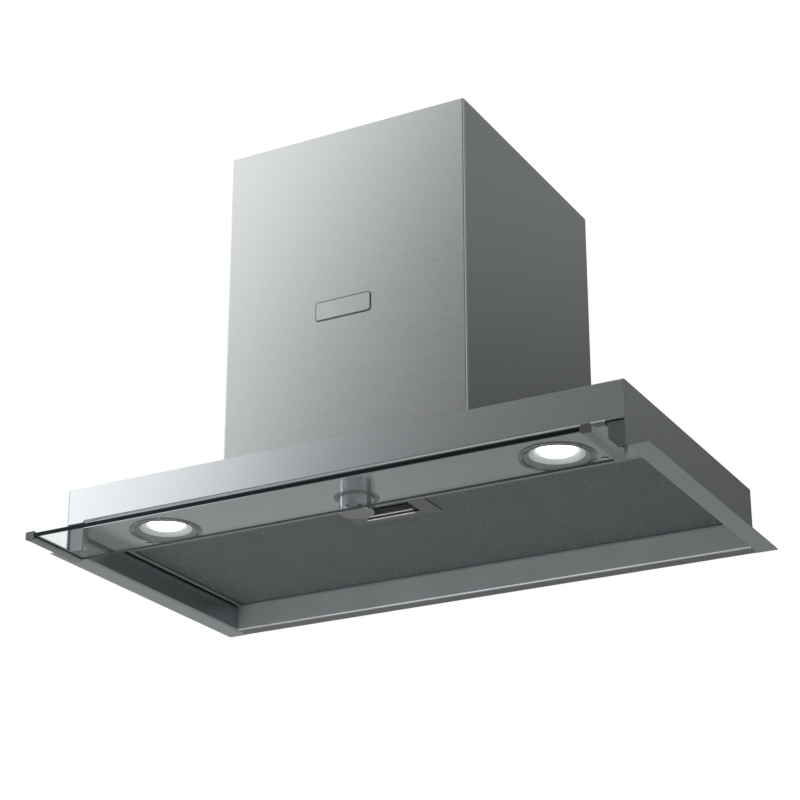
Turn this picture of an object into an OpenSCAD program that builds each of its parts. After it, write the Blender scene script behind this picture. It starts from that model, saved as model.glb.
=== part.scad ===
// Built-in cooker hood: a canopy of folded steel sheet that hangs under a wall cabinet, with a
// blower casing above it, a pull-out glass visor, two lamps, a rotary control and a grease filter.
// Millimetres. +X is to the right, +Y towards the wall, +Z up. The origin is the centre of the
// four cabinet screw holes, on the top face of the canopy.

/* [Canopy] */
// Width of the canopy over its side panels
canopy_w = 560; // [540:1:600]
// Depth of the canopy from the fascia to the rear panel
canopy_d = 300; // [296:1:330]
// Height of the canopy from the flange to its top face
canopy_h = 58.5; // [56:0.5:75]
// Height of the front fascia
fascia_h = 34.2; // [32:0.1:38]
// Thickness of the steel sheet
sheet = 1; // [0.8:0.1:1.2]
// Width of the folds that join the panels
fold = 10; // [8:0.5:12]
// Distance between the cabinet screw holes, side to side
screw_spacing_x = 480; // [440:1:500]
// Distance between the cabinet screw holes, front to back
screw_spacing_y = 200; // [160:1:220]
// Diameter of the cabinet screw holes
screw_hole_d = 5.5; // [4.5:0.1:7]

/* [Flange] */
// How far each side flange stands out from the canopy
flange_side_w = 19; // [15:0.5:22]
// How far the side flanges start behind the fascia
flange_front_setback = 1.5; // [0.5:0.1:4]
// How far the side flanges reach behind the rear panel
flange_side_overhang = 11.5; // [6:0.1:16]
// How far the rear flange strip reaches behind the rear panel
flange_rear_overhang = 10.5; // [5:0.1:15]
// How far the wall of the recess stands in front of the rear panel's outer face
liner_inset = 5.3; // [5:0.1:7]
// Height of the rear liner above the flange
liner_h = 36.5; // [35.5:0.1:45]

/* [Corner posts] */
// Width of each corner post with the side panel's edge
post_w = 18; // [15:0.5:22]
// How far each corner post stands back from the fascia
post_recess = 2; // [1.5:0.1:3]
// Depth of each corner post's inner return
post_return = 9; // [7:0.5:11]
// Gap between the fascia and the corner posts
post_gap = 1.3; // [0.8:0.1:2]

/* [Lamp panel] */
// How far the lamp panel lies below the fascia
panel_drop = 3.7; // [2.5:0.1:5]
// Distance from the fascia to the lamp panel's rear edge
panel_d = 77; // [74:0.5:82]
// Height of the lamp panel's rear lip
panel_lip = 12; // [8:0.5:14]
// How far the lamp panel's front lip stands back from the fascia
panel_recess = 1.2; // [1:0.1:1.4]
// Distance from a lamp's centre out to the hanger screw beside it
hanger_offset = 34; // [34:0.5:38]
// Distance from the fascia to the hanger screws
hanger_setback = 66; // [60:0.5:70]
// Width of a lamp panel hanger
hanger_w = 12; // [10:1:12]

/* [Lamps] */
// Distance between the lamp centres
lamp_spacing = 398; // [380:1:400]
// Distance from the fascia to the lamp centres
lamp_setback = 43; // [40:0.5:44]
// Outer diameter of a lamp bezel
bezel_d = 68; // [64:1:72]
// Diameter of a lamp's lens opening
lens_d = 40; // [36:1:44]
// Height of a lamp can above the lamp panel
lamp_h = 28; // [24:1:30]

/* [Control] */
// Diameter of the control knob
knob_d = 32; // [28:0.5:34]
// How far the knob stands below the lamp panel
knob_l = 16.4; // [12:0.1:18]
// Distance from the fascia to the knob's axis
knob_setback = 50; // [46:0.5:52]
// Diameter of the ring round the knob
knob_ring_d = 41; // [39:0.5:44]
// Diameter of the knob's spindle
spindle_d = 6; // [5:0.5:8]
// Width of the selector switch
switch_w = 40; // [36:1:44]
// Height of the selector switch
switch_h = 18; // [14:1:22]
// Length of the control unit
control_l = 72; // [50:1:80]
// Length of the LED driver
driver_l = 100; // [70:1:110]
// Depth of the control unit and the LED driver
unit_d = 46; // [36:1:50]
// Height of the control unit and the LED driver
unit_h = 22; // [18:1:26]
// Diameter of the capacitor
capacitor_d = 28; // [24:1:30]
// Length of the capacitor
capacitor_l = 44; // [36:1:48]

/* [Visor] */
// How far the open visor stands out in front of the fascia
visor_reach = 65; // [60:0.5:75]
// How far the visor pushes in from there
visor_travel = 64; // [60:0.5:64]
// Gap between the canopy's side and the visor bar
visor_side_gap = 4; // [3.5:0.1:5]
// Gap between the flange and the visor bars
visor_drop = 3.3; // [2:0.1:5]
// Width of a visor bar
bar_w = 9; // [8.5:0.1:11]
// Height of a visor bar
bar_h = 7; // [6.5:0.1:9]
// Length of a visor bar with its cap
bar_l = 74; // [72.5:0.5:76]
// Thickness of a bar's end cap
cap_t = 2.5; // [2:0.1:4]
// How far a cap stands proud of its bar
cap_proud = 0.3; // [0.2:0.1:0.6]
// Thickness of the glass pane
glass_t = 4; // [3.5:0.1:5]
// Depth of the groove that holds the pane
groove = 3; // [2:0.1:4]
// Thickness of a visor arm
arm_t = 1.5; // [1.2:0.1:1.6]
// Depth of a visor arm
arm_d = 8; // [6:0.5:8]
// Length of a slide block
block_l = 89; // [70:1:95]
// Length of a visor rail
rail_l = 164; // [162:1:180]
// Width of a visor rail
rail_w = 10.5; // [10:0.1:12]
// Height of a visor rail
rail_h = 14; // [12:0.5:15]
// Sheet thickness of a visor rail
rail_t = 1.2; // [1:0.1:1.4]
// Gap between the filter and the rails above it
rail_gap = 2; // [1:0.1:3]

/* [Filter] */
// Thickness of the grease filter
filter_t = 9.8; // [9:0.1:11]
// How far the filter lies above the lamp panel's underside
filter_rise = 4.1; // [3:0.1:5]
// Gap between the lamp panel and the filter
filter_front_gap = 11; // [10:0.1:13]
// Gap between the filter and the rear liner
filter_rear_gap = 0.7; // [0.6:0.1:1]
// Gap between the filter and each side panel
filter_side_gap = 3; // [2:0.1:5]
// Width of the filter frame's rim
filter_rim = 6; // [5:0.5:8]
// Thickness of a mesh sheet
mesh_t = 0.8; // [0.6:0.1:1]
// Width of a hook tab on the filter's rear edge
tab_w = 30; // [24:1:40]
// Length of a hook tab
tab_l = 4; // [3.6:0.1:4.1]
// Distance between the hook tabs' centres
hook_spacing = 358; // [320:1:400]

/* [Filter latch] */
// Width of the latch plate
latch_w = 88; // [84:1:100]
// Depth of the latch plate behind the filter's rim
latch_d = 38.5; // [38:0.5:48]
// Width of the latch handle
handle_w = 54; // [44:1:56]
// Depth of the latch handle
handle_d = 6; // [5:0.5:7]
// How far the handle hangs below the filter
handle_drop = 4.6; // [4:0.1:8]
// Depth of the finger slot in front of the handle
finger_slot = 14; // [12:0.5:16]
// Travel of the latch
latch_travel = 6; // [4:0.5:7]
// Thickness of the latch slider
slider_t = 2; // [1.6:0.1:2.4]
// Width of a latch nose
nose_w = 8; // [6:0.5:9]
// How far a latch nose stands out of the filter
nose_l = 4.6; // [3:0.1:5]
// Gap between a latch nose and its keeper
nose_gap = 0.4; // [0.3:0.1:0.6]

/* [Blower casing] */
// Width of the casing
box_w = 250; // [240:1:280]
// Height of the casing above the canopy
box_h = 320; // [260:1:340]
// How far the casing stands back from the fascia
box_front_setback = 22; // [18:0.5:24]
// How far the casing stands in front of the rear panel
box_rear_setback = 3; // [2:0.5:5]
// Width of the returns on the casing's front panel
box_return = 12; // [8:0.5:16]
// Width of the casing's foot folds
box_foot = 12; // [8:0.5:14]
// Width of the plate on the casing's front
badge_w = 58; // [40:1:70]
// Height of the plate on the casing's front
badge_h = 19.5; // [12:0.5:24]
// Thickness of that plate
badge_t = 1.2; // [0.8:0.1:2]
// Corner radius of that plate
badge_r = 3; // [1:0.1:5]
// Height of that plate's centre above the canopy
badge_z = 136.5; // [90:0.5:180]

/* [Blower] */
// Diameter of the impeller
impeller_d = 150; // [140:1:154]
// Width of the impeller
impeller_w = 110; // [90:1:112]
// Number of blades
blades = 36; // [24:1:44]
// Radial length of a blade
blade_l = 12; // [9:0.5:14]
// Thickness of a blade
blade_t = 1; // [0.8:0.1:1.4]
// Diameter of the impeller's shaft
shaft_d = 8; // [6:0.5:10]
// Width inside the scroll
scroll_w = 124; // [120:1:140]
// Radius of the scroll at its tongue
scroll_r_start = 82; // [81:0.5:84]
// Radius of the scroll at its outlet
scroll_r_end = 120; // [116:0.5:122]
// Angle of the tongue above the rear side
tongue_angle = 75; // [65:1:80]
// Gap between the scroll and the casing's front
scroll_front_gap = 5; // [2:0.5:8]
// Gap between the scroll and the canopy's top face
scroll_floor_gap = 24; // [4:1:40]
// Diameter of the scroll's inlets
inlet_d = 120; // [110:1:124]
// Length of the inlet rings
inlet_ring_l = 6; // [4:0.5:6.5]
// Diameter of the motor
motor_d = 80; // [70:1:84]
// Radial length of the motor bracket's arms
bracket_reach = 10; // [8:0.5:12]
// Thickness of the motor bracket
bracket_t = 2.5; // [2:0.1:4]

/* [Duct collar] */
// Outer diameter of the collar that the duct slides over
collar_d = 149; // [146:0.5:150]
// Height of the collar above the casing
collar_h = 34; // [30:1:44]
// Wall of the collar
collar_wall = 2; // [1.6:0.1:2.4]
// Width of the collar's base flange
collar_flange = 9.5; // [8:0.5:10]
// Thickness of the damper flaps
flap_t = 1.2; // [1:0.1:1.6]
// Diameter of the damper axle
axle_d = 4; // [3:0.1:5]
// Height of the damper axle above the casing
axle_z = 16; // [14:0.5:20]

/* [Cable gland] */
// Diameter of the cable hole
cable_d = 8; // [6:0.5:9]
// Outer diameter of the gland's body
gland_d = 20; // [18:0.5:24]
// Height of the gland above the casing
gland_h = 16; // [12:0.5:20]

/* [Hidden] */
$fn = 64;

// Clearance between pieces that move past each other
clear = 0.3;
// Radial clearance of a shaft in its bush
running = 0.05;
// Overlap that lets a cut run past a face
past = 1;

// Outer and inner faces of the canopy
x_out = canopy_w / 2;
x_in = x_out - sheet;
y_front = -canopy_d / 2;
y_rear = canopy_d / 2;
z_low = -canopy_h;
z_fascia = -fascia_h;
fold_top = -sheet;
fold_low = -2 * sheet;
y_fold_front = y_front + sheet + fold;
y_fold_rear = y_rear - sheet - fold;
y_liner = y_rear - liner_inset;
z_liner = z_low + liner_h;

// Lamp panel
z_panel = z_fascia - panel_drop;
z_panel_top = z_panel + sheet;
y_panel_front = y_front + panel_recess;
y_panel_rear = y_front + panel_d;
x_post = x_out - post_w;
y_post = y_front + post_recess;
lamp_x = lamp_spacing / 2;
lamp_y = y_front + lamp_setback;
hanger_x = lamp_x + hanger_offset;
hanger_y = y_front + hanger_setback;
panel_screw_d = 3.5;
panel_screw_l = 9;
panel_screw_head_d = 6.4;
panel_screw_head_h = 1.6;

// Lamps, measured from the lamp panel's underside
bezel_lip = 4.6;
bezel_drop = 1.2;
sleeve_t = 1.3;
sleeve_h = 10;
sleeve_r = bezel_d / 2 - bezel_lip;
lamp_hole_r = sleeve_r + sleeve_t + clear;
lens_r = lens_d / 2;
reflector_low = -0.4;
reflector_high = 7.4;
reflector_t = 1;
reflector_seat = 2;
can_t = 1.2;
can_r = sleeve_r + sleeve_t;

// Control
knob_y = y_front + knob_setback;
knob_r = knob_d / 2;
knob_chamfer = 0.8;
ring_r = knob_ring_d / 2 - clear;
ring_bore_r = knob_r + 0.4;
ring_sleeve_t = 1.5;
ring_seat = 3.5;
ring_h = 5;
knob_sink = 1.4;
spindle_grip = 9;
spindle_top = ring_h + spindle_grip;
unit_gap = 4;
lamp_gap = 6;
x_lamp_room = lamp_x - can_r - lamp_gap;
x_capacitor = x_lamp_room - capacitor_l;

// Visor
x_bar_out = x_out - visor_side_gap;
x_bar_in = x_bar_out - bar_w;
z_bar_top = z_low - visor_drop;
z_bar_low = z_bar_top - bar_h;
z_bar_mid = (z_bar_top + z_bar_low) / 2;
glass_setback = 0.5;
y_bar_front = y_front - visor_reach;
y_bar_rear = y_bar_front + bar_l;
arm_x_out = x_bar_out;
arm_x_in = arm_x_out - arm_t;
slot_gap = 0.5;
y_arm = y_post + sheet + slot_gap;
x_panel = arm_x_in - slot_gap;
z_filter = z_panel + filter_rise;
z_filter_top = z_filter + filter_t;
z_rail_low = z_filter_top + rail_gap;
z_rail_top = z_rail_low + rail_h;
x_rail = x_in - rail_w;
block_x_in = x_rail + rail_t + clear;
block_x_out = x_in - rail_t - clear;
z_block_low = z_rail_low + rail_t + clear;
z_block_top = z_rail_top - rail_t - clear;

// Filter
x_filter = x_in - filter_side_gap;
y_filter = y_panel_rear + filter_front_gap;
y_filter_rear = y_liner - filter_rear_gap;
frame_t = 1;
tab_t = 1;
tab_lift = 0.2;
tab_z = z_filter + tab_lift;
window_h = 6.6;
x_rim = x_filter - filter_rim;
y_rim = y_filter + filter_rim;
y_rim_rear = y_filter_rear - filter_rim;

// Filter latch
y_latch_rear = y_rim + latch_d;
handle_y = y_rim + finger_slot + 1;
handle_wall = 1.2;
z_slider = z_filter + frame_t + clear;
nose_offset = 10;
slider_x = handle_w / 2 + nose_offset;
opening_side = 0.5;
opening_rear = handle_y + handle_d + latch_travel + clear;
slider_rear = y_latch_rear - latch_travel - clear;
core_gap = 2;
core_t = 0.6;
core_play = 0.1;
core_pitch = 12;
nose_y = y_filter - nose_l;
keeper_y = nose_y - nose_gap;
keeper_w = 100;
keeper_t = 1;
keeper_top = z_slider - 0.9;

// Blower casing
box_x = box_w / 2;
box_x_in = box_x - sheet;
box_y = y_front + box_front_setback;
box_y_in = box_y + sheet;
box_y_rear = y_rear - box_rear_setback;
box_y_rear_in = box_y_rear - sheet;
box_z_in = box_h - sheet;
seam = 0.2;
badge_rim = 1;
badge_sink = 0.3;

// Scroll: its radius grows at a steady rate from the tongue round to the outlet
flange_t = 1.5;
mouth_z = box_z_in - flange_t;
function scroll_r(a) = scroll_r_start
    + (scroll_r_end - scroll_r_start) * (a - tongue_angle) / (360 - tongue_angle);
fan_y = box_y_in + scroll_front_gap + sheet + scroll_r(180);
fan_z = scroll_floor_gap + sheet + scroll_r(270);
tongue_y = fan_y + scroll_r_start * cos(tongue_angle);
outlet_y = fan_y + scroll_r_end;
scroll_steps = 38;
scroll_x = scroll_w / 2;
duct_y = (tongue_y + outlet_y) / 2;
mouth_edge = 14;
impeller_r = impeller_d / 2;
impeller_x = impeller_w / 2;
disc_x = -3;
disc_t = 2;
hub_r = 12;
hub_l = 14;
end_ring_t = 2;
end_ring_w = 9;
blade_tilt = 28;
motor_r = motor_d / 2;
motor_x = disc_x + disc_t + hub_l - 2;
motor_end = scroll_x + sheet + bracket_t + 1.5;
shaft_r = shaft_d / 2;
shaft_grip = 24;
shaft_end = motor_x + shaft_grip;
bracket_arm_w = 12;
bracket_ring = 4;

// Collar
collar_r = collar_d / 2;
collar_bore_r = collar_r - collar_wall;
top_hole_r = collar_r + 1.5;
collar_flange_t = 1.5;
stop_w = 2;
stop_h = 2;
flap_r = collar_bore_r - 1;
axle_r = axle_d / 2;
knuckle_wall = 1;
knuckle_w = 18;
knuckle_start = -60;
knuckle_pitch = 80;
knuckle_shift = 22;
flap_gap = 0.6;
z_axle = box_h + axle_z;
z_flap = z_axle - flap_t / 2;
screw_r = 1.6;
screw_head_r = 3;
screw_head_h = 1.8;
screw_l = 6;

// Gland
gland_inset = 27;
gland_x = box_x - gland_inset;
gland_y = box_y_rear - gland_inset;
gland_nut = 24;
gland_nut_h = 5;
gland_neck_d = 15;
gland_chamfer = 2;
gland_tail = 4;

// A box from its lowest to its highest corner
module block(lo, hi) { translate(lo) cube(hi - lo); }

// A piece drawn for the right side, on the right or mirrored to the left
module on_side(side) { mirror([side < 0 ? 1 : 0, 0, 0]) children(); }

// A copy on each side
module both_sides() { for (side = [-1, 1]) on_side(side) children(); }

// A cylinder along X from x0 to x1
module rod_x(x0, x1, r) { translate([x0, 0, 0]) rotate([0, 90, 0]) cylinder(h = x1 - x0, r = r); }

// A slice of a cylinder's plan with a hole in it
module washer(h, r, bore) {
    difference() {
        cylinder(h = h, r = r);
        translate([0, 0, -past]) cylinder(h = h + 2 * past, r = bore);
    }
}

// Canopy

module side_panel(side) {
    color("silver") on_side(side) union() {
        block([x_in, y_front, z_low], [x_out, y_rear, 0]);
        block([x_in, y_front + flange_front_setback, z_low],
            [x_out + flange_side_w, y_rear + flange_side_overhang, z_low + sheet]);
        block([x_in - fold, y_fold_front + past, fold_low],
            [x_in + sheet / 2, y_fold_rear - past, fold_top]);
    }
}

module rear_panel() {
    color("silver") union() {
        block([-x_in, y_rear - sheet, z_low + sheet], [x_in, y_rear, 0]);
        block([-x_in, y_fold_rear, fold_low], [x_in, y_rear - sheet / 2, fold_top]);
    }
}

module rear_liner() {
    color("silver") difference() {
        union() {
            block([-x_in, y_liner, z_low], [x_in, y_liner + sheet, z_liner]);
            block([-x_in, y_liner, z_low], [x_in, y_rear + flange_rear_overhang, z_low + sheet]);
            block([-x_in, y_liner, z_liner - sheet], [x_in, y_rear - sheet, z_liner]);
        }
        both_sides() translate([hook_spacing / 2, 0, 0])
            block([-tab_w / 2 - clear, y_liner - past, tab_z - clear],
                [tab_w / 2 + clear, y_liner + sheet + past, tab_z + window_h]);
    }
}

module front_fascia() {
    color("silver") union() {
        block([-x_in, y_front, z_fascia], [x_in, y_front + sheet, 0]);
        block([-x_in, y_front + sheet / 2, fold_low], [x_in, y_fold_front, fold_top]);
        block([-x_post, y_front, z_fascia], [x_post, y_front + fold, z_fascia + sheet]);
    }
}

module top_plate() {
    throat_x = box_x_in - box_foot / 2;
    color("silver") difference() {
        block([-x_in, y_front + sheet, -sheet], [x_in, y_rear - sheet, 0]);
        block([-throat_x, box_y_in + box_foot / 2, -sheet - past],
            [throat_x, box_y_rear_in - box_foot / 2, past]);
        for (sx = [-1, 1], sy = [-1, 1])
            translate([sx * screw_spacing_x / 2, sy * screw_spacing_y / 2, -sheet - past])
                cylinder(h = sheet + 2 * past, d = screw_hole_d);
    }
}

module corner_post(side) {
    color("gray") on_side(side) union() {
        block([x_post, y_post, z_low], [x_in, y_post + sheet, z_fascia - post_gap]);
        block([x_post, y_post, z_low], [x_post + sheet, y_front + post_return, z_panel]);
    }
}

module lamp_panel() {
    color("lightgray") difference() {
        union() {
            block([-x_panel, y_post + sheet + clear, z_panel], [x_panel, y_panel_rear, z_panel_top]);
            block([-x_post + slot_gap, y_panel_front, z_panel],
                [x_post - slot_gap, y_post + sheet + past, z_panel_top]);
            block([-x_post + slot_gap, y_panel_front, z_panel],
                [x_post - slot_gap, y_panel_front + sheet, z_fascia]);
            block([-x_panel, y_panel_rear - sheet, z_panel], [x_panel, y_panel_rear, z_panel + panel_lip]);
        }
        both_sides() translate([lamp_x, lamp_y, z_panel - past])
            cylinder(h = sheet + 2 * past, r = lamp_hole_r);
        both_sides() translate([hanger_x, hanger_y, z_panel - past])
            cylinder(h = sheet + 2 * past, d = panel_screw_d + clear);
        translate([0, knob_y, z_panel - past]) cylinder(h = sheet + 2 * past, d = knob_ring_d);
    }
}

// Two hangers that carry the rear of the lamp panel from the top plate
module panel_hangers() {
    color("silver") both_sides() difference() {
        union() {
            block([hanger_x - hanger_w / 2, hanger_y - hanger_w / 2, z_panel_top],
                [hanger_x + hanger_w / 2, hanger_y + hanger_w / 2, z_panel_top + sheet]);
            block([hanger_x - hanger_w / 2, hanger_y + hanger_w / 2 - sheet, z_panel_top],
                [hanger_x + hanger_w / 2, hanger_y + hanger_w / 2, -sheet]);
            block([hanger_x - hanger_w / 2, hanger_y - hanger_w / 2, -2 * sheet],
                [hanger_x + hanger_w / 2, hanger_y + hanger_w / 2, -sheet]);
        }
        translate([hanger_x, hanger_y, z_panel]) cylinder(h = 3 * sheet, d = panel_screw_d + clear);
    }
}

module panel_screws() {
    color("gray") both_sides() translate([hanger_x, hanger_y, z_panel]) union() {
        translate([0, 0, -panel_screw_head_h]) difference() {
            cylinder(h = panel_screw_head_h, d1 = panel_screw_head_d - 2 * knob_chamfer,
                d2 = panel_screw_head_d);
            translate([0, 0, -past]) cylinder(h = past + panel_screw_head_h / 2, d = panel_screw_d / 2);
        }
        cylinder(h = panel_screw_l, d = panel_screw_d);
    }
}

// Lamps

module lamp_place(side) { on_side(side) translate([lamp_x, lamp_y, z_panel]) children(); }

module lamp_bezel(side) {
    color("gainsboro") lamp_place(side) rotate_extrude() polygon([
        [sleeve_r, -bezel_drop], [bezel_d / 2 - bezel_drop, -bezel_drop], [bezel_d / 2, -bezel_drop / 4],
        [bezel_d / 2, 0], [sleeve_r + sleeve_t, 0], [sleeve_r + sleeve_t, sleeve_h], [sleeve_r, sleeve_h]
    ]);
}

module lamp_reflector(side) {
    color("white") lamp_place(side) rotate_extrude() polygon([
        [sleeve_r - clear, reflector_low], [sleeve_r - clear, reflector_low + reflector_t],
        [lens_r + clear + reflector_seat, reflector_high + reflector_t],
        [lens_r + clear, reflector_high + reflector_t], [lens_r + clear, reflector_high]
    ]);
}

module lamp_lens(side) {
    seat = reflector_high + reflector_t;
    color("ivory") lamp_place(side) union() {
        translate([0, 0, seat]) cylinder(h = reflector_t, r = lens_r + reflector_seat);
        translate([0, 0, seat - reflector_t + clear]) cylinder(h = reflector_t, r = lens_r);
    }
}

module lamp_can(side) {
    color("dimgray") lamp_place(side) translate([0, 0, sleeve_h]) difference() {
        cylinder(h = lamp_h - sleeve_h, r = can_r);
        translate([0, 0, -past]) cylinder(h = lamp_h - sleeve_h - can_t + past, r = can_r - can_t);
    }
}

// Control

module knob_place() { translate([0, knob_y, z_panel]) children(); }

module knob_ring() {
    sleeve_in = ring_r - ring_sleeve_t;
    color("silver") knob_place() union() {
        washer(sheet, ring_r, ring_bore_r);
        translate([0, 0, sheet]) washer(sheet, ring_r + ring_seat, sleeve_in);
        washer(ring_h, ring_r, sleeve_in);
    }
}

module control_knob() {
    color("silver") knob_place() union() {
        translate([0, 0, -knob_l]) cylinder(h = knob_chamfer, r1 = knob_r - knob_chamfer, r2 = knob_r);
        translate([0, 0, -knob_l + knob_chamfer])
            cylinder(h = knob_l - knob_chamfer + knob_sink, r = knob_r);
        cylinder(h = spindle_top, d = spindle_d);
    }
}

module selector_switch() {
    color("dimgray") knob_place() difference() {
        block([-switch_w / 2, -switch_w / 2, ring_h], [switch_w / 2, switch_w / 2, ring_h + switch_h]);
        translate([0, 0, ring_h - past])
            cylinder(h = spindle_top - ring_h + past + clear, r = spindle_d / 2 + running);
    }
}

module control_unit() {
    color("dimgray") translate([x_capacitor - unit_gap - control_l, knob_y, z_panel_top])
        block([0, -unit_d / 2, 0], [control_l, unit_d / 2, unit_h]);
}

module led_driver() {
    color("white") translate([-x_lamp_room, knob_y, z_panel_top])
        block([0, -unit_d / 2, 0], [driver_l, unit_d / 2, unit_h]);
}

module capacitor() {
    color("lightgray") translate([0, knob_y, z_panel_top + capacitor_d / 2])
        rod_x(x_capacitor, x_lamp_room, capacitor_d / 2);
}

// Visor

module visor_rail(side) {
    y0 = y_post + sheet;
    color("gray") on_side(side) difference() {
        block([x_rail, y0, z_rail_low], [x_in, y0 + rail_l, z_rail_top]);
        block([x_rail + rail_t, y0 - past, z_rail_low + rail_t],
            [x_in - rail_t, y0 + rail_l + past, z_rail_top - rail_t]);
        block([arm_x_in - slot_gap, y0 - past, z_rail_low - past],
            [arm_x_out + slot_gap, y0 + rail_l + past, z_rail_low + rail_t + past]);
    }
}

module visor_slide(side) {
    color("darkgray") on_side(side) union() {
        block([block_x_in, y_arm, z_block_low], [block_x_out, y_arm + block_l, z_block_top]);
        block([arm_x_in, y_arm, z_bar_top], [arm_x_out, y_arm + arm_d, z_block_top]);
    }
}

module visor_bar(side) {
    color("silver") on_side(side) difference() {
        block([x_bar_in, y_bar_front + cap_t, z_bar_low], [x_bar_out, y_bar_rear, z_bar_top]);
        block([x_bar_in - past, y_bar_front, z_bar_mid - glass_t / 2],
            [x_bar_in + groove, y_bar_rear + past, z_bar_mid + glass_t / 2]);
    }
}

module visor_cap(side) {
    color("gray") on_side(side) block([x_bar_in - cap_proud, y_bar_front, z_bar_low - cap_proud],
        [x_bar_out + cap_proud, y_bar_front + cap_t, z_bar_top + cap_proud]);
}

module visor_glass() {
    color([0.75, 0.85, 0.85, 0.4]) union() {
        block([-x_bar_in + cap_proud, y_bar_front + glass_setback, z_bar_mid - glass_t / 2],
            [x_bar_in - cap_proud, y_bar_rear, z_bar_mid + glass_t / 2]);
        block([-x_bar_in - groove, y_bar_front + cap_t, z_bar_mid - glass_t / 2],
            [x_bar_in + groove, y_bar_rear, z_bar_mid + glass_t / 2]);
    }
}

// Filter

module filter_frame() {
    color("lightgray") difference() {
        union() {
            difference() {
                block([-x_filter, y_filter, z_filter], [x_filter, y_filter_rear, z_filter_top]);
                block([-x_rim, y_rim, z_filter - past], [x_rim, y_rim_rear, z_filter_top + past]);
                block([-x_filter + frame_t, y_filter + frame_t, z_filter + frame_t],
                    [x_filter - frame_t, y_filter_rear - frame_t, z_filter_top - frame_t]);
            }
            both_sides() translate([hook_spacing / 2, 0, tab_z])
                block([-tab_w / 2, y_filter_rear - frame_t, 0], [tab_w / 2, y_filter_rear + tab_l, tab_t]);
        }
        both_sides() block([slider_x - nose_w - clear, y_filter - past, z_slider - clear],
            [slider_x + clear, y_filter + frame_t + past, z_slider + slider_t + clear]);
    }
}

// The part of the filter's plan that the latch takes
module latch_plan(z0, z1, gap) {
    block([-latch_w / 2 - gap, y_filter - past, z0], [latch_w / 2 + gap, y_latch_rear + gap, z1]);
}

module mesh_sheet(z0) {
    block([-x_rim - filter_rim / 2, y_rim - filter_rim / 2, z0],
        [x_rim + filter_rim / 2, y_rim_rear + filter_rim / 2, z0 + mesh_t]);
}

module filter_mesh() {
    color("gray") difference() {
        mesh_sheet(z_filter + frame_t);
        latch_plan(z_filter, z_filter + frame_t + 2 * mesh_t, 0);
    }
}

module filter_back_mesh() { color("gray") mesh_sheet(z_filter_top - frame_t - mesh_t); }

// Corrugated sheet between the two meshes
module filter_core() {
    z0 = z_filter + frame_t + mesh_t + core_play;
    rise = z_filter_top - frame_t - mesh_t - core_play - z0 - core_t;
    waves = floor(2 * x_rim / core_pitch);
    pitch = 2 * x_rim / waves;
    wave = [for (i = [0 : waves - 1], p = [[0, 0], [0.25, 0], [0.5, rise], [0.75, rise]])
        [-x_rim + (i + p[0]) * pitch, z0 + p[1]]];
    line = concat(wave, [[x_rim, z0]]);
    color("darkgray") difference() {
        translate([0, y_rim_rear, 0]) rotate([90, 0, 0]) linear_extrude(y_rim_rear - y_rim)
            polygon(concat(line, [for (i = [len(line) - 1 : -1 : 0]) line[i] + [0, core_t]]));
        latch_plan(z0 - past, z0 + rise + core_t + past, core_gap);
    }
}

module latch_plate() {
    x_open = handle_w / 2 + opening_side;
    color("silver") difference() {
        block([-latch_w / 2, y_rim, z_filter], [latch_w / 2, y_latch_rear, z_filter + frame_t]);
        block([-x_open, handle_y - finger_slot, z_filter - past],
            [x_open, opening_rear, z_filter + frame_t + past]);
    }
}

module latch_slider() {
    color("white") union() {
        block([-slider_x, handle_y, z_slider], [slider_x, slider_rear, z_slider + slider_t]);
        both_sides() block([slider_x - nose_w, nose_y, z_slider],
            [slider_x, slider_rear, z_slider + slider_t]);
        difference() {
            block([-handle_w / 2, handle_y, z_filter - handle_drop],
                [handle_w / 2, handle_y + handle_d, z_slider + slider_t]);
            block([-handle_w / 2 - past, handle_y + handle_wall, z_filter - handle_drop - past],
                [handle_w / 2 + past, handle_y + handle_d - handle_wall, z_slider]);
        }
    }
}

// Ledge under the latch noses, fixed to the lamp panel's rear lip
module latch_keeper() {
    color("silver") union() {
        block([-keeper_w / 2, y_panel_rear, keeper_top - keeper_t], [keeper_w / 2, keeper_y, keeper_top]);
        block([-keeper_w / 2, y_panel_rear, keeper_top - keeper_t],
            [keeper_w / 2, y_panel_rear + keeper_t, z_panel + panel_lip]);
    }
}

// Blower casing

module box_front() {
    color("silver") union() {
        block([-box_x, box_y, 0], [box_x, box_y_in, box_h]);
        both_sides() block([box_x_in - sheet, box_y, sheet], [box_x_in, box_y + box_return, box_z_in]);
    }
}

module box_side(side) {
    color("silver") on_side(side) union() {
        block([box_x_in, box_y_in + seam, 0], [box_x, box_y_rear, box_h]);
        block([box_x_in - box_foot, box_y + box_return + past, 0],
            [box_x_in + sheet / 2, box_y_rear_in - past, sheet]);
    }
}

module box_rear() { color("silver") block([-box_x_in, box_y_rear_in, 0], [box_x_in, box_y_rear, box_h]); }

module box_top() {
    color("silver") difference() {
        block([-box_x_in, box_y_in, box_z_in], [box_x_in, box_y_rear_in, box_h]);
        duct_place(box_z_in - past) cylinder(h = sheet + 2 * past, r = top_hole_r);
        collar_screw_places(box_z_in - past) cylinder(h = sheet + 2 * past, r = screw_r + clear);
        translate([gland_x, gland_y, box_z_in - past]) cylinder(h = sheet + 2 * past, d = gland_neck_d);
    }
}

module badge_outline(edge) {
    offset(r = badge_r) square([badge_w - 2 * badge_r - 2 * edge, badge_h - 2 * badge_r - 2 * edge],
        center = true);
}

module badge_plate() {
    color("lightgray") translate([0, box_y, badge_z]) rotate([90, 0, 0]) difference() {
        linear_extrude(badge_t) badge_outline(0);
        translate([0, 0, badge_t - badge_sink]) linear_extrude(badge_sink + past)
            badge_outline(badge_rim);
    }
}

// Blower

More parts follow.
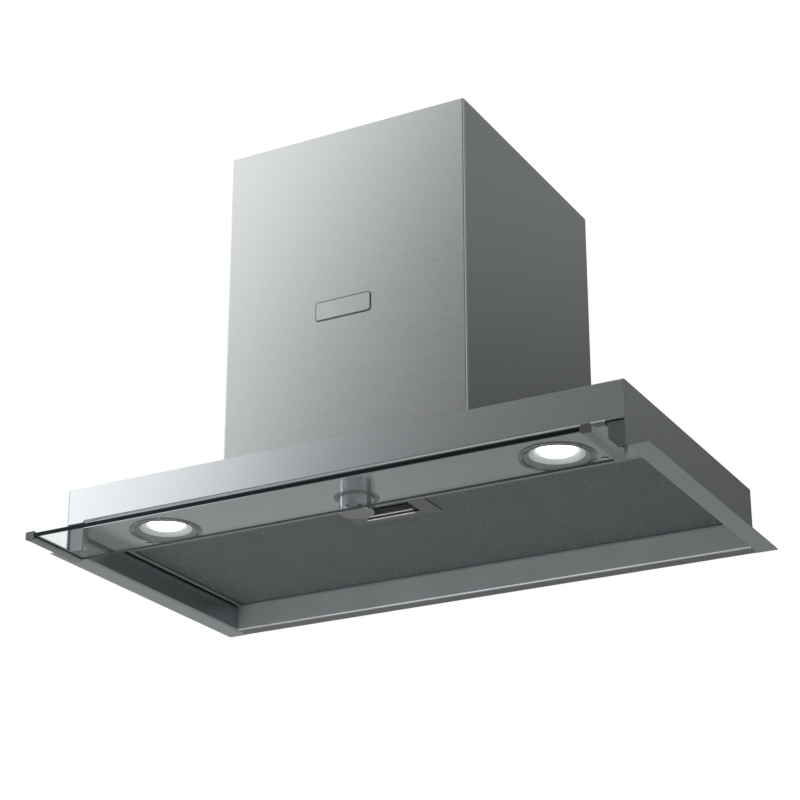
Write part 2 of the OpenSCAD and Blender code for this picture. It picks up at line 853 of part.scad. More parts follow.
// Plan of the scroll in the Y-Z plane, grown outwards by a wall
module scroll_plan(wall) {
    curve = [for (i = [0 : scroll_steps]) let (a = tongue_angle + i * (360 - tongue_angle) / scroll_steps)
        [fan_y + (scroll_r(a) + wall) * cos(a), fan_z + (scroll_r(a) + wall) * sin(a)]];
    union() {
        polygon(concat([[tongue_y - wall, fan_z]], curve));
        translate([tongue_y - wall, fan_z])
            square([outlet_y - tongue_y + 2 * wall, mouth_z - fan_z]);
    }
}

// Turns a plan drawn in Y-Z into a solid between x0 and x1
module across(x0, x1) {
    translate([x0, 0, 0]) rotate([90, 0, 90]) linear_extrude(x1 - x0) children();
}

module fan_place() { translate([0, fan_y, fan_z]) children(); }

module scroll_wrap() {
    color("lightsteelblue") across(-scroll_x, scroll_x) difference() {
        scroll_plan(sheet);
        scroll_plan(0);
    }
}

module scroll_side(side) {
    color("lightsteelblue") on_side(side) union() {
        difference() {
            across(scroll_x, scroll_x + sheet) scroll_plan(sheet);
            fan_place() rod_x(scroll_x - past, scroll_x + sheet + past, inlet_d / 2);
        }
        fan_place() difference() {
            rod_x(scroll_x - inlet_ring_l + sheet, scroll_x + sheet, inlet_d / 2 + sheet);
            rod_x(scroll_x - inlet_ring_l, scroll_x + sheet + past, inlet_d / 2);
        }
    }
}

module outlet_flange() {
    color("lightsteelblue") difference() {
        block([-scroll_x - mouth_edge, tongue_y - mouth_edge, mouth_z],
            [scroll_x + mouth_edge, outlet_y + mouth_edge, mouth_z + flange_t]);
        block([-scroll_x, tongue_y, mouth_z - past], [scroll_x, outlet_y, mouth_z + flange_t + past]);
        collar_screw_places(mouth_z - past) cylinder(h = flange_t + 2 * past, r = screw_r + clear);
    }
}

module blade_ring() {
    x0 = -impeller_x + end_ring_t / 2;
    mid_r = impeller_r - blade_l * cos(blade_tilt) / 2 - blade_t;
    for (i = [0 : blades - 1]) rotate([i * 360 / blades, 0, 0]) translate([0, mid_r, 0])
        rotate([blade_tilt, 0, 0])
            block([x0, -blade_l / 2, -blade_t / 2], [-x0, blade_l / 2, blade_t / 2]);
}

module impeller_end(x0) {
    difference() {
        rod_x(x0, x0 + end_ring_t, impeller_r);
        rod_x(x0 - past, x0 + end_ring_t + past, impeller_r - end_ring_w);
    }
}

module impeller() {
    color("dimgray") fan_place() union() {
        blade_ring();
        impeller_end(-impeller_x);
        impeller_end(impeller_x - end_ring_t);
        rod_x(disc_x, disc_x + disc_t, impeller_r);
        rod_x(disc_x - disc_t, disc_x + hub_l - 2 * disc_t, hub_r);
        rod_x(disc_x - 2 * disc_t, shaft_end, shaft_r);
    }
}

module motor() {
    color("gray") fan_place() difference() {
        union() {
            rod_x(motor_x, motor_end, motor_r);
            rod_x(motor_x - disc_t, motor_x + disc_t, shaft_d);
        }
        rod_x(motor_x - 2 * disc_t, shaft_end + past, shaft_r + running);
    }
}

module motor_bracket() {
    x0 = scroll_x + sheet;
    reach = inlet_d / 2 + bracket_reach;
    color("silver") fan_place() difference() {
        union() {
            rod_x(x0, x0 + bracket_t, motor_r + bracket_ring);
            for (a = [90, 210, 330]) rotate([a, 0, 0])
                block([x0, 0, -bracket_arm_w / 2], [x0 + bracket_t, reach, bracket_arm_w / 2]);
        }
        rod_x(x0 - past, x0 + bracket_t + past, motor_r + clear);
    }
}

// Duct collar

module duct_place(z) { translate([0, duct_y, z]) children(); }

module collar_screw_places(z) {
    for (a = [45 : 90 : 315]) duct_place(z) rotate(a) translate([collar_r + collar_flange / 2, 0, 0])
        children();
}

module duct_collar() {
    stop_top = z_flap - clear;
    color("dimgray") union() {
        difference() {
            union() {
                duct_place(box_h) cylinder(h = collar_flange_t, r = collar_r + collar_flange);
                duct_place(box_h) cylinder(h = collar_h, r = collar_r);
            }
            duct_place(box_h - past) cylinder(h = collar_h + 2 * past, r = collar_bore_r);
            collar_screw_places(box_h - past)
                cylinder(h = collar_flange_t + 2 * past, r = screw_r + clear);
        }
        duct_place(stop_top - stop_h) difference() {
            washer(stop_h, collar_bore_r + collar_wall / 2, collar_bore_r - stop_w);
            block([-collar_bore_r, -axle_r - stop_w, -past],
                [collar_bore_r, axle_r + stop_w, stop_h + past]);
        }
    }
}

module collar_screws() {
    color("silver") collar_screw_places(box_h + collar_flange_t) union() {
        cylinder(h = screw_head_h, r = screw_head_r);
        translate([0, 0, -screw_l]) cylinder(h = screw_l + clear, r = screw_r);
    }
}

module damper_axle() {
    color("silver") duct_place(z_axle) rod_x(-collar_bore_r, collar_bore_r, axle_r);
}

// Half-round flap with two knuckles that turn on the axle
module damper_flap(front) {
    start = front ? knuckle_start : knuckle_start + knuckle_shift;
    knuckle_r = axle_r + running + knuckle_wall;
    way = front ? -1 : 1;
    color("gray") duct_place(z_axle) difference() {
        union() {
            intersection() {
                translate([0, 0, -flap_t / 2]) cylinder(h = flap_t, r = flap_r);
                translate([-flap_r, front ? -flap_r : knuckle_r + flap_gap, -flap_t])
                    cube([2 * flap_r, flap_r - knuckle_r - flap_gap, 2 * flap_t]);
            }
            for (x = [start, start + knuckle_pitch]) {
                rod_x(x, x + knuckle_w, knuckle_r);
                block([x, min(0, way * (knuckle_r + 2 * flap_gap)), -flap_t / 2],
                    [x + knuckle_w, max(0, way * (knuckle_r + 2 * flap_gap)), flap_t / 2]);
            }
        }
        rod_x(-flap_r, flap_r, axle_r + running);
    }
}

module cable_gland() {
    color("dimgray") translate([gland_x, gland_y, box_h]) difference() {
        union() {
            cylinder(h = gland_nut_h, d = gland_nut, $fn = 6);
            cylinder(h = gland_h - gland_chamfer, d = gland_d);
            translate([0, 0, gland_h - gland_chamfer])
                cylinder(h = gland_chamfer, d1 = gland_d, d2 = gland_d - 2 * gland_chamfer);
            translate([0, 0, -sheet - gland_tail])
                cylinder(h = sheet + gland_tail + past, d = gland_neck_d - clear);
        }
        translate([0, 0, -sheet - gland_tail - past])
            cylinder(h = gland_h + sheet + gland_tail + 2 * past, r = cable_d / 2);
    }
}

side_panel(-1);  // side_panel_left
side_panel(1);  // side_panel_right
rear_panel();
rear_liner();
front_fascia();
top_plate();
corner_post(-1);  // corner_post_left
corner_post(1);  // corner_post_right
lamp_panel();
panel_hangers();
panel_screws();
lamp_bezel(-1);  // lamp_bezel_left
lamp_bezel(1);  // lamp_bezel_right
lamp_reflector(-1);  // lamp_reflector_left
lamp_reflector(1);  // lamp_reflector_right
lamp_lens(-1);  // lamp_lens_left
lamp_lens(1);  // lamp_lens_right
lamp_can(-1);  // lamp_can_left
lamp_can(1);  // lamp_can_right
knob_ring();
control_knob();
selector_switch();
control_unit();
led_driver();
capacitor();
visor_rail(-1);  // visor_rail_left
visor_rail(1);  // visor_rail_right
visor_glass();
visor_bar(-1);  // visor_bar_left
visor_bar(1);  // visor_bar_right
visor_cap(-1);  // visor_cap_left
visor_cap(1);  // visor_cap_right
visor_slide(-1);  // visor_slide_left
visor_slide(1);  // visor_slide_right
filter_frame();
filter_mesh();
filter_core();
filter_back_mesh();
latch_plate();
latch_slider();
latch_keeper();
box_front();
box_side(-1);  // box_side_left
box_side(1);  // box_side_right
box_rear();
box_top();
badge_plate();
scroll_wrap();
scroll_side(-1);  // scroll_side_left
scroll_side(1);  // scroll_side_right
outlet_flange();
impeller();
motor();
motor_bracket();
duct_collar();
collar_screws();
damper_axle();
damper_flap(true);  // damper_flap_front
damper_flap(false);  // damper_flap_rear
cable_gland();
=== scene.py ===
"""Dresses the built-in cooker hood: folded steel canopy and casing, visor, lamps, knob and filter."""
import logging
import math
from dataclasses import dataclass
from enum import Enum
from typing import Callable, Iterable, Sequence

import bmesh
import bpy
from mathutils import Matrix, Vector


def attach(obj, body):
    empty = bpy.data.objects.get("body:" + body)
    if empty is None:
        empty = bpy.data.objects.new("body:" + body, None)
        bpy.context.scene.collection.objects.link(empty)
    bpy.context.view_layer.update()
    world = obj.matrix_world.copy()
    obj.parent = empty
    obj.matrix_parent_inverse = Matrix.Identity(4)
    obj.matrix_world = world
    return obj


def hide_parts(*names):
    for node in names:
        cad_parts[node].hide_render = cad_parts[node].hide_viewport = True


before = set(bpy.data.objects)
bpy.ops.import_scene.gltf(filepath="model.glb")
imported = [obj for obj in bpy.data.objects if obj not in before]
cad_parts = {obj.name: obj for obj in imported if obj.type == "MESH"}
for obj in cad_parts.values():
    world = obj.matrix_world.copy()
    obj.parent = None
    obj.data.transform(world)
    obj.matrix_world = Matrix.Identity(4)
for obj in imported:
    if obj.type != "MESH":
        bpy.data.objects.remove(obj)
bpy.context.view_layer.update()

MM = 0.001
SHARP = math.radians(32)
LOG = logging.getLogger("cooker_hood")

Flat = tuple[float, float]
Spot = tuple[float, float, float]
Tone = tuple[float, float, float]
Place = Callable[[float, float, float], Vector]


class Grain(Enum):
    """The way the brushed lines of a steel sheet run, as noise cells per metre along X, Y and Z."""

    ALONG_X = (14.0, 1300.0, 1300.0)
    ALONG_Y = (1300.0, 14.0, 1300.0)
    ALONG_Z = (1300.0, 1300.0, 14.0)


class Axis(Enum):
    """The axis that a profile is drawn out along; the profile lies in the other two, in order."""

    X = 0
    Y = 1
    Z = 2

    def spot(self, u: float, v: float, w: float) -> Vector:
        """A point in metres.

        Args:
            u: First coordinate across the axis, in millimetres.
            v: Second coordinate across the axis, in millimetres.
            w: Coordinate along the axis, in millimetres.

        Returns:
            The point in the row frame.
        """
        order = {Axis.X: (w, u, v), Axis.Y: (u, w, v), Axis.Z: (u, v, w)}
        return Vector(order[self]) * MM


class NodeBench:
    """Adds and joins the nodes of one material."""

    def __init__(self, name: str) -> None:
        """Starts an empty material.

        Args:
            name: The material's name.
        """
        self.material = bpy.data.materials.new(name)
        self.material.use_nodes = True
        self.tree = self.material.node_tree
        self.tree.nodes.clear()
        self.out = self.add("ShaderNodeOutputMaterial")

    def add(self, kind: str, **values: object) -> bpy.types.Node:
        """Adds a node.

        Args:
            kind: Blender's name for the type of node.
            values: Properties of the node itself.

        Returns:
            The node.
        """
        node = self.tree.nodes.new(kind)
        for key, value in values.items():
            setattr(node, key, value)
        return node

    def join(self, source: bpy.types.NodeSocket, node: bpy.types.Node, socket: str | int) -> None:
        """Links an output to an input, which is given by its name or its number."""
        self.tree.links.new(source, node.inputs[socket])

    @staticmethod
    def fill(node: bpy.types.Node, **values: object) -> None:
        """Sets a node's inputs, named with _ for a space."""
        for key, value in values.items():
            node.inputs[key.replace("_", " ")].default_value = value

    def dress(
        self, shader: bpy.types.Node, colour: bpy.types.NodeSocket,
        rough: bpy.types.NodeSocket | None = None, normal: bpy.types.NodeSocket | None = None,
    ) -> None:
        """Joins a shader's colour and, where they are given, its roughness and normal."""
        for source, socket in ((colour, "Base Color"), (rough, "Roughness"), (normal, "Normal")):
            if source is not None:
                self.join(source, shader, socket)

    def noise(self, cells: Spot, detail: float, roughness: float = 0.55) -> bpy.types.NodeSocket:
        """Noise in the object's own space.

        Args:
            cells: Noise cells per metre along X, Y and Z.
            detail: Octaves of finer noise.
            roughness: How much the finer octaves count.

        Returns:
            The noise value, around one half.
        """
        place = self.add("ShaderNodeTexCoord")
        spread = self.add("ShaderNodeMapping")
        self.fill(spread, Scale=cells)
        cloud = self.add("ShaderNodeTexNoise")
        self.fill(cloud, Scale=1.0, Detail=detail, Roughness=roughness)
        self.join(place.outputs["Object"], spread, "Vector")
        self.join(spread.outputs["Vector"], cloud, "Vector")
        return cloud.outputs["Fac"]

    def span(self, source: bpy.types.NodeSocket, low: float, high: float,
             start: float = 0.3, end: float = 0.7) -> bpy.types.NodeSocket:
        """Maps a value from start..end to low..high.

        Args:
            source: The value to map.
            low: Result at start.
            high: Result at end.
            start: Value that gives low.
            end: Value that gives high.

        Returns:
            The mapped value.
        """
        node = self.add("ShaderNodeMapRange")
        self.fill(node, From_Min=start, From_Max=end, To_Min=low, To_Max=high)
        self.join(source, node, "Value")
        return node.outputs["Result"]

    def shade(self, tone: Tone, factor: bpy.types.NodeSocket, contrast: float) -> bpy.types.NodeSocket:
        """A colour that drifts with a factor.

        Args:
            tone: The middle colour.
            factor: Value from nought to one.
            contrast: Share by which the colour darkens and lightens.

        Returns:
            The colour.
        """
        ramp = self.add("ShaderNodeValToRGB")
        dark, light = ramp.color_ramp.elements
        dark.position, light.position = 0.25, 0.75
        dark.color = (*[c * (1 - contrast) for c in tone], 1)
        light.color = (*[min(1.0, c * (1 + contrast)) for c in tone], 1)
        self.join(factor, ramp, "Fac")
        return ramp.outputs["Color"]

    def bump(self, height: bpy.types.NodeSocket, strength: float, depth_mm: float) -> bpy.types.NodeSocket:
        """A normal from a height.

        Args:
            height: The height's value.
            strength: Share of the bump to use.
            depth_mm: Depth of the bump in millimetres.

        Returns:
            The normal.
        """
        node = self.add("ShaderNodeBump")
        self.fill(node, Strength=strength, Distance=depth_mm * MM)
        self.join(height, node, "Height")
        return node.outputs["Normal"]

    def shader(self, **values: object) -> bpy.types.Node:
        """The Principled shader, joined to the output.

        Args:
            values: Socket values, with _ for a space in the socket's name.

        Returns:
            The shader node.
        """
        node = self.add("ShaderNodeBsdfPrincipled")
        self.fill(node, **values)
        self.join(node.outputs["BSDF"], self.out, "Surface")
        return node


@dataclass(frozen=True)
class Finish:
    """A finish that a piece can take; each kind below says how it is made.

    Attributes:
        name: Name of the material.
        tone: Its middle colour, linear.
        rough: Its middle roughness.
    """

    name: str
    tone: Tone
    rough: float

    def build(self) -> bpy.types.Material:
        """Makes the material."""
        raise NotImplementedError

    def material(self) -> bpy.types.Material:
        """The material, made once."""
        made = bpy.data.materials.get(self.name)
        return made if made else self.build()


@dataclass(frozen=True)
class Brushed(Finish):
    """Steel or aluminium with brushed lines and faint clouding.

    Attributes:
        grain: The way the lines run.
        contrast: Share by which the lines darken and lighten the colour.
        stretch: How far highlights are drawn out across the lines.
        depth_mm: Depth of the lines.
        turn: The axis round which highlights are drawn out.
    """

    grain: Grain = Grain.ALONG_X
    contrast: float = 0.012
    stretch: float = 0.45
    depth_mm: float = 0.02
    turn: str = "Z"

    def build(self) -> bpy.types.Material:
        """Brushed lines drive colour, roughness and bump; slow clouds change the roughness."""
        bench = NodeBench(self.name)
        lines = bench.noise(self.grain.value, 3.0, 0.65)
        clouds = bench.noise((5.0, 5.0, 5.0), 4.0)
        mixed = bench.add("ShaderNodeMath", operation="MULTIPLY_ADD")
        mixed.inputs[1].default_value = 0.3
        bench.join(clouds, mixed, "Value")
        half = bench.span(lines, 0.0, 0.7, 0.2, 0.8)
        bench.join(half, mixed, 2)
        steel = bench.shader(Metallic=1.0, Anisotropic=self.stretch)
        value = mixed.outputs["Value"]
        bench.dress(steel, bench.shade(self.tone, value, self.contrast),
                    bench.span(value, self.rough - 0.015, self.rough + 0.015, 0.2, 0.8),
                    bench.bump(lines, 0.03, self.depth_mm))
        if self.stretch:
            tangent = bench.add("ShaderNodeTangent", direction_type="RADIAL", axis=self.turn)
            bench.join(tangent.outputs["Tangent"], steel, "Tangent")
        return bench.material


@dataclass(frozen=True)
class Plated(Finish):
    """Zinc-coated or cast metal with soft crystal patches."""

    patch: float = 90.0
    contrast: float = 0.12

    def build(self) -> bpy.types.Material:
        """Crystal patches from cells drive colour and roughness."""
        bench = NodeBench(self.name)
        place = bench.add("ShaderNodeTexCoord")
        cells = bench.add("ShaderNodeTexVoronoi")
        cells.inputs["Scale"].default_value = self.patch
        bench.join(place.outputs["Object"], cells, "Vector")
        grey = bench.add("ShaderNodeRGBToBW")
        bench.join(cells.outputs["Color"], grey, "Color")
        metal = bench.shader(Metallic=1.0)
        bench.dress(metal, bench.shade(self.tone, grey.outputs["Val"], self.contrast),
                    bench.span(grey.outputs["Val"], self.rough - 0.06, self.rough + 0.08),
                    bench.bump(bench.noise((900.0,) * 3, 2.0), 0.2, 0.02))
        return bench.material


@dataclass(frozen=True)
class Moulded(Finish):
    """Plastic or rubber with a fine moulded grain."""

    grain_mm: float = 0.6
    depth_mm: float = 0.03

    def build(self) -> bpy.types.Material:
        """A fine grain in the bump and slow drift in the colour."""
        bench = NodeBench(self.name)
        fine = bench.noise((1 / (self.grain_mm * MM),) * 3, 2.0)
        slow = bench.noise((25.0,) * 3, 3.0)
        skin = bench.shader()
        bench.dress(skin, bench.shade(self.tone, slow, 0.08),
                    bench.span(fine, self.rough - 0.06, self.rough + 0.06),
                    bench.bump(fine, 0.35, self.depth_mm))
        return bench.material


@dataclass(frozen=True)
class Polished(Finish):
    """Bright drawn metal: a bezel, a knob or a screw."""

    haze: float = 0.06

    def build(self) -> bpy.types.Material:
        """Faint haze in the roughness over an even tone."""
        bench = NodeBench(self.name)
        cloud = bench.noise((140.0,) * 3, 3.0)
        metal = bench.shader(Metallic=1.0)
        bench.dress(metal, bench.shade(self.tone, cloud, 0.05),
                    bench.span(cloud, self.rough, self.rough + self.haze), bench.bump(cloud, 0.1, 0.01))
        return bench.material


@dataclass(frozen=True)
class Satin(Finish):
    """Etched or matt-anodised metal that scatters part of its light."""

    metal: float = 0.5

    def build(self) -> bpy.types.Material:
        """A fine etched grain in the colour, the roughness and the bump."""
        bench = NodeBench(self.name)
        fine = bench.noise((1500.0,) * 3, 2.0)
        slow = bench.noise((30.0,) * 3, 3.0)
        skin = bench.shader(Metallic=self.metal)
        bench.dress(skin, bench.shade(self.tone, slow, 0.06),
                    bench.span(fine, self.rough - 0.05, self.rough + 0.05), bench.bump(fine, 0.15, 0.01))
        return bench.material


@dataclass(frozen=True)
class Dimpled(Finish):
    """Sheet metal pressed with rows of fine dimples."""

    pitch_x: float = 3.0
    pitch_y: float = 5.0
    contrast: float = 0.3

    def build(self) -> bpy.types.Material:
        """Crossed waves make the dimples in the colour and the bump."""
        bench = NodeBench(self.name)
        place = bench.add("ShaderNodeTexCoord")
        axes = bench.add("ShaderNodeSeparateXYZ")
        bench.join(place.outputs["Object"], axes, "Vector")
        waves = []
        for axis, pitch in (("X", self.pitch_x), ("Y", self.pitch_y)):
            phase = bench.add("ShaderNodeMath", operation="MULTIPLY")
            phase.inputs[1].default_value = 2 * math.pi / (pitch * MM)
            bench.join(axes.outputs[axis], phase, "Value")
            wave = bench.add("ShaderNodeMath", operation="SINE")
            bench.join(phase.outputs["Value"], wave, "Value")
            waves.append(wave.outputs["Value"])
        crossed = bench.add("ShaderNodeMath", operation="MULTIPLY")
        for i, wave in enumerate(waves):
            bench.join(wave, crossed, i)
        dimple = bench.span(crossed.outputs["Value"], 0.0, 1.0, -0.7, 0.7)
        metal = bench.shader(Metallic=0.5, Roughness=self.rough)
        bench.dress(metal, bench.shade(self.tone, dimple, self.contrast),
                    normal=bench.bump(dimple, 0.3, 0.1))
        return bench.material


@dataclass(frozen=True)
class Pane(Finish):
    """Clear float glass with a faint cool tint."""

    index: float = 1.5

    def build(self) -> bpy.types.Material:
        """Full transmission with a drift of the tint too faint to see as a pattern."""
        bench = NodeBench(self.name)
        cloud = bench.noise((4.0,) * 3, 2.0)
        glass = bench.shader(Transmission_Weight=1.0, IOR=self.index, Roughness=self.rough)
        bench.dress(glass, bench.shade(self.tone, cloud, 0.01))
        return bench.material


@dataclass(frozen=True)
class Lit(Finish):
    """The lamp's frosted lens, switched on."""

    glow: float = 8.0

    def build(self) -> bpy.types.Material:
        """Even light with a fine frosted grain."""
        bench = NodeBench(self.name)
        frost = bench.noise((1200.0,) * 3, 2.0)
        lens = bench.shader(Roughness=self.rough, Emission_Strength=self.glow)
        frosted = bench.shade(self.tone, frost, 0.03)
        bench.dress(lens, frosted, normal=bench.bump(frost, 0.3, 0.05))
        bench.join(frosted, lens, "Emission Color")
        return bench.material


SHEET = Brushed("sheet_brushed_along_x", (0.52, 0.552, 0.564), 0.24, Grain.ALONG_X)
SHEET_SIDE = Brushed("sheet_brushed_along_y", (0.33, 0.352, 0.36), 0.32, Grain.ALONG_Y, turn="X")
# Lighter copy of the side sheet's steel for its walls, against the darker flange and folds: painted light.
SIDE_WALL_LIT = Brushed("side_wall_painted_light", (0.44, 0.467, 0.478), 0.34, Grain.ALONG_Y)
SHEET_LINER = Satin("recess_steel", (0.485, 0.515, 0.525), 0.5, 0.6)
# Dark copy of the recess steel for the strip along the liner's foot: painted shade.
LINER_STRIP_SHADED = Satin("recess_strip_painted_shade", (0.152, 0.163, 0.168), 0.45, 0.8)
BEND = Satin("bend_steel", (0.41, 0.425, 0.43), 0.3, 0.9)
SHEET_PANEL = Brushed("lamp_panel_steel", (0.372, 0.395, 0.402), 0.2, Grain.ALONG_X, 0.01, 0.3)
# Much darker copy of the sheet steel for the corner posts: painted shade for their recessed place behind the
# fascia.
SHEET_POST_SHADED = Brushed("corner_post_painted_shade", (0.172, 0.184, 0.19), 0.36, Grain.ALONG_Z)
# Near-black finish that stands for painted shade on the posts' undersides and in the screw heads' recesses.
SHADOW = Moulded("painted_shade_underside", (0.02, 0.021, 0.022), 0.6)
CASING_FRONT = Brushed("casing_front_steel", (0.42, 0.437, 0.442), 0.28, Grain.ALONG_X, 0.007, 0.3)
# Darker copy of the casing front's steel for the sides, rear and top: painted shade.
CASING_SHADED = Brushed("casing_painted_shade_steel", (0.28, 0.30, 0.307), 0.32, Grain.ALONG_Y, 0.012)
BADGE = Brushed("bare_badge", (0.445, 0.465, 0.47), 0.26, Grain.ALONG_X, 0.02, 0.3)
BADGE_SEAT = Satin("badge_surround", (0.09, 0.095, 0.098), 0.4, 0.6)
ZINC = Plated("zinc_plate", (0.46, 0.47, 0.48), 0.38)
GALVANISED = Plated("galvanised_scroll", (0.52, 0.53, 0.54), 0.42, 45.0, 0.18)
SCREW = Polished("bright_screw", (0.55, 0.55, 0.54), 0.22)
BEZEL = Polished("satin_bezel", (0.30, 0.318, 0.325), 0.24)
# Near-black finish for the bezel's upright faces: painted shade in its grooves and sleeve.
GROOVE_SHADE = Satin("bezel_groove_painted_shade", (0.03, 0.032, 0.033), 0.4, 0.6)
# Near-black finish for the knob's ring: painted shade for the gap round the knob and painted dark
# reflections.
RING_SHADE = Satin("knob_surround_painted_shade", (0.095, 0.1, 0.103), 0.35, 0.7)
REFLECTOR = Satin("lamp_cone", (0.52, 0.53, 0.54), 0.42, 0.45)
# Much darker copy of the cone's finish for its outer part: painted shade, so that the part near the lens
# reads as lit by it.
CONE_RIM_SHADE = Satin("lamp_cone_rim_painted_shade", (0.16, 0.168, 0.172), 0.42, 0.6)
CAN = Moulded("lamp_can_coating", (0.18, 0.18, 0.185), 0.5)
LENS = Lit("lit_lens", (1.0, 0.985, 0.96), 0.4)
KNOB = Polished("turned_knob", (0.56, 0.585, 0.595), 0.12, 0.08)
# Darker copy of the knob's metal for its end face: painted shade.
KNOB_END_SHADE = Satin("knob_end_painted_shade", (0.20, 0.213, 0.218), 0.35, 0.8)
MARK = Moulded("knob_mark_ink", (0.006, 0.006, 0.007), 0.7)
BLACK = Moulded("black_moulding", (0.03, 0.03, 0.032), 0.45)
WHITE = Moulded("white_moulding", (0.7, 0.7, 0.68), 0.4)
RUBBER = Moulded("soft_seal", (0.015, 0.015, 0.016), 0.7, 0.4)
PANE = Pane("visor_pane_glass", (0.885, 0.925, 0.925), 0.0, 1.12)
# Near-black metal for the pane's edges: painted shade and dim reflection along the glass edge.
PANE_EDGE_SHADE = Satin("painted_dark_glass_edge", (0.014, 0.019, 0.021), 0.4, 1.0)
BAR = Satin("anodised_bar", (0.205, 0.218, 0.224), 0.4, 0.6)
BAR_SIDE = Satin("anodised_bar_side", (0.30, 0.315, 0.32), 0.5, 0.2)
CAP = Satin("bar_end_cap", (0.085, 0.09, 0.092), 0.4, 0.5)
FILTER_RIM = Brushed("filter_rim_aluminium", (0.22, 0.234, 0.24), 0.45, Grain.ALONG_X, 0.03, 0.3)
# Lighter, mostly diffuse copy of the frame's aluminium for the bead: painted light along the frame's edge.
FILTER_BEAD_LIT = Satin("filter_bead_painted_light", (0.27, 0.285, 0.29), 0.4, 0.2)
FILTER_WIRE = Satin("filter_strand", (0.212, 0.229, 0.235), 0.5, 0.5)
# The lining's tone is raised so that the shade in the gaps between strands reads lighter: painted light.
FILTER_LINING_LIT = Plated("filter_lining_painted_light", (0.52, 0.55, 0.56), 0.55, 420.0, 0.12)
LATCH_PLATE = Dimpled("dimpled_latch_plate", (0.12, 0.128, 0.131), 0.5)
LATCH = Satin("latch_steel", (0.86, 0.87, 0.87), 0.28, 0.85)
# Dark copy of the latch steel for its front and upper faces: painted shade inside the finger slot.
LATCH_SHADE = Satin("latch_painted_shade", (0.10, 0.106, 0.108), 0.5, 0.5)
MOTOR = Moulded("motor_coating", (0.09, 0.09, 0.095), 0.4)


def placed(bm: bmesh.types.BMesh, name: str, material: bpy.types.Material) -> bpy.types.Object:
    """Puts a mesh, which is used up, into the scene as an object of one material."""
    mesh = bpy.data.meshes.new(name)
    bm.to_mesh(mesh)
    bm.free()
    mesh.materials.append(material)
    thing = bpy.data.objects.new(name, mesh)
    bpy.context.scene.collection.objects.link(thing)
    return thing


def add_piece(
    bm: bmesh.types.BMesh, name: str, finish: Finish, body: str,
    replaces: Sequence[str] = (), soften: float = 0.0,
) -> bpy.types.Object:
    """Turns a mesh into a piece that rides on a body.

    Args:
        bm: The mesh, in metres; it is used up.
        name: The piece's name.
        finish: What it is made of.
        body: The body it rides on.
        replaces: The CAD nodes it stands for.
        soften: Width in millimetres by which sharp edges are rounded.

    Returns:
        The object.
    """
    bmesh.ops.recalc_face_normals(bm, faces=bm.faces)
    piece = placed(bm, name, finish.material())
    mesh = piece.data
    mesh.shade_smooth()
    mesh.set_sharp_from_angle(angle=SHARP)
    if soften:
        rounding = piece.modifiers.new("rounded edges", "BEVEL")
        rounding.width = soften * MM
        rounding.segments = 2
        rounding.limit_method = "ANGLE"
        rounding.angle_limit = math.radians(50)
        rounding.harden_normals = True
    else:
        evened = piece.modifiers.new("even flat faces", "WEIGHTED_NORMAL")
        evened.weight = 90
        evened.keep_sharp = True
    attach(piece, body)
    if replaces:
        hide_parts(*replaces)
    LOG.info("%s: %d faces on %s", name, len(mesh.polygons), body)
    return piece


def refinish(piece: bpy.types.Object, finish: Finish, chosen: Callable[[Vector, Vector], bool]) -> None:
    """Gives some faces of a piece another finish.

    Args:
        piece: The piece.
        finish: The other finish.
        chosen: Says, from a face's normal and its middle in metres, whether it takes the other finish.
    """
    piece.data.materials.append(finish.material())
    last = len(piece.data.materials) - 1
    for face in piece.data.polygons:
        if chosen(face.normal, face.center):
            face.material_index = last


def paint(nodes: Iterable[str], finish: Finish) -> None:
    """Gives CAD nodes their finish.

    Args:
        nodes: Names of the nodes.
        finish: What they are made of.
    """
    for node in nodes:
        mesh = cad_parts[node].data
        mesh.materials.clear()
        mesh.materials.append(finish.material())
        LOG.info("%s: CAD solid in %s", node, finish.name)


def bent_line(path: Sequence[Flat], radius: float, steps: int = 5) -> list[tuple[Vector, Vector]]:
    """Rounds the corners of a path.

    Args:
        path: Corners of the sheet's middle line, in millimetres.
        radius: Radius of the middle line at each bend.
        steps: Segments of each bend.

    Returns:
        Points along the line, each with the normal to its left.
    """
    spots = [Vector(p) for p in path]
    line: list[tuple[Vector, Vector]] = []
    first = (spots[1] - spots[0]).normalized()
    line.append((spots[0], Vector((-first.y, first.x))))
    for before, at, after in zip(spots, spots[1:], spots[2:]):
        come, go = (at - before).normalized(), (after - at).normalized()
        turn = math.atan2(come.x * go.y - come.y * go.x, come.dot(go))
        reach = radius * math.tan(abs(turn) / 2)
        side = Vector((-come.y, come.x)) * (1 if turn > 0 else -1)
        centre = at - come * reach + side * radius
        for step in range(steps + 1):
            angle = turn * step / steps
            spoke = Vector((
                -side.x * math.cos(angle) + side.y * math.sin(angle),
                -side.x * math.sin(angle) - side.y * math.cos(angle),
            ))
            normal = -spoke if turn > 0 else spoke
            line.append((centre + spoke * radius, normal))
    last = (spots[-1] - spots[-2]).normalized()
    line.append((spots[-1], Vector((-last.y, last.x))))
    return line


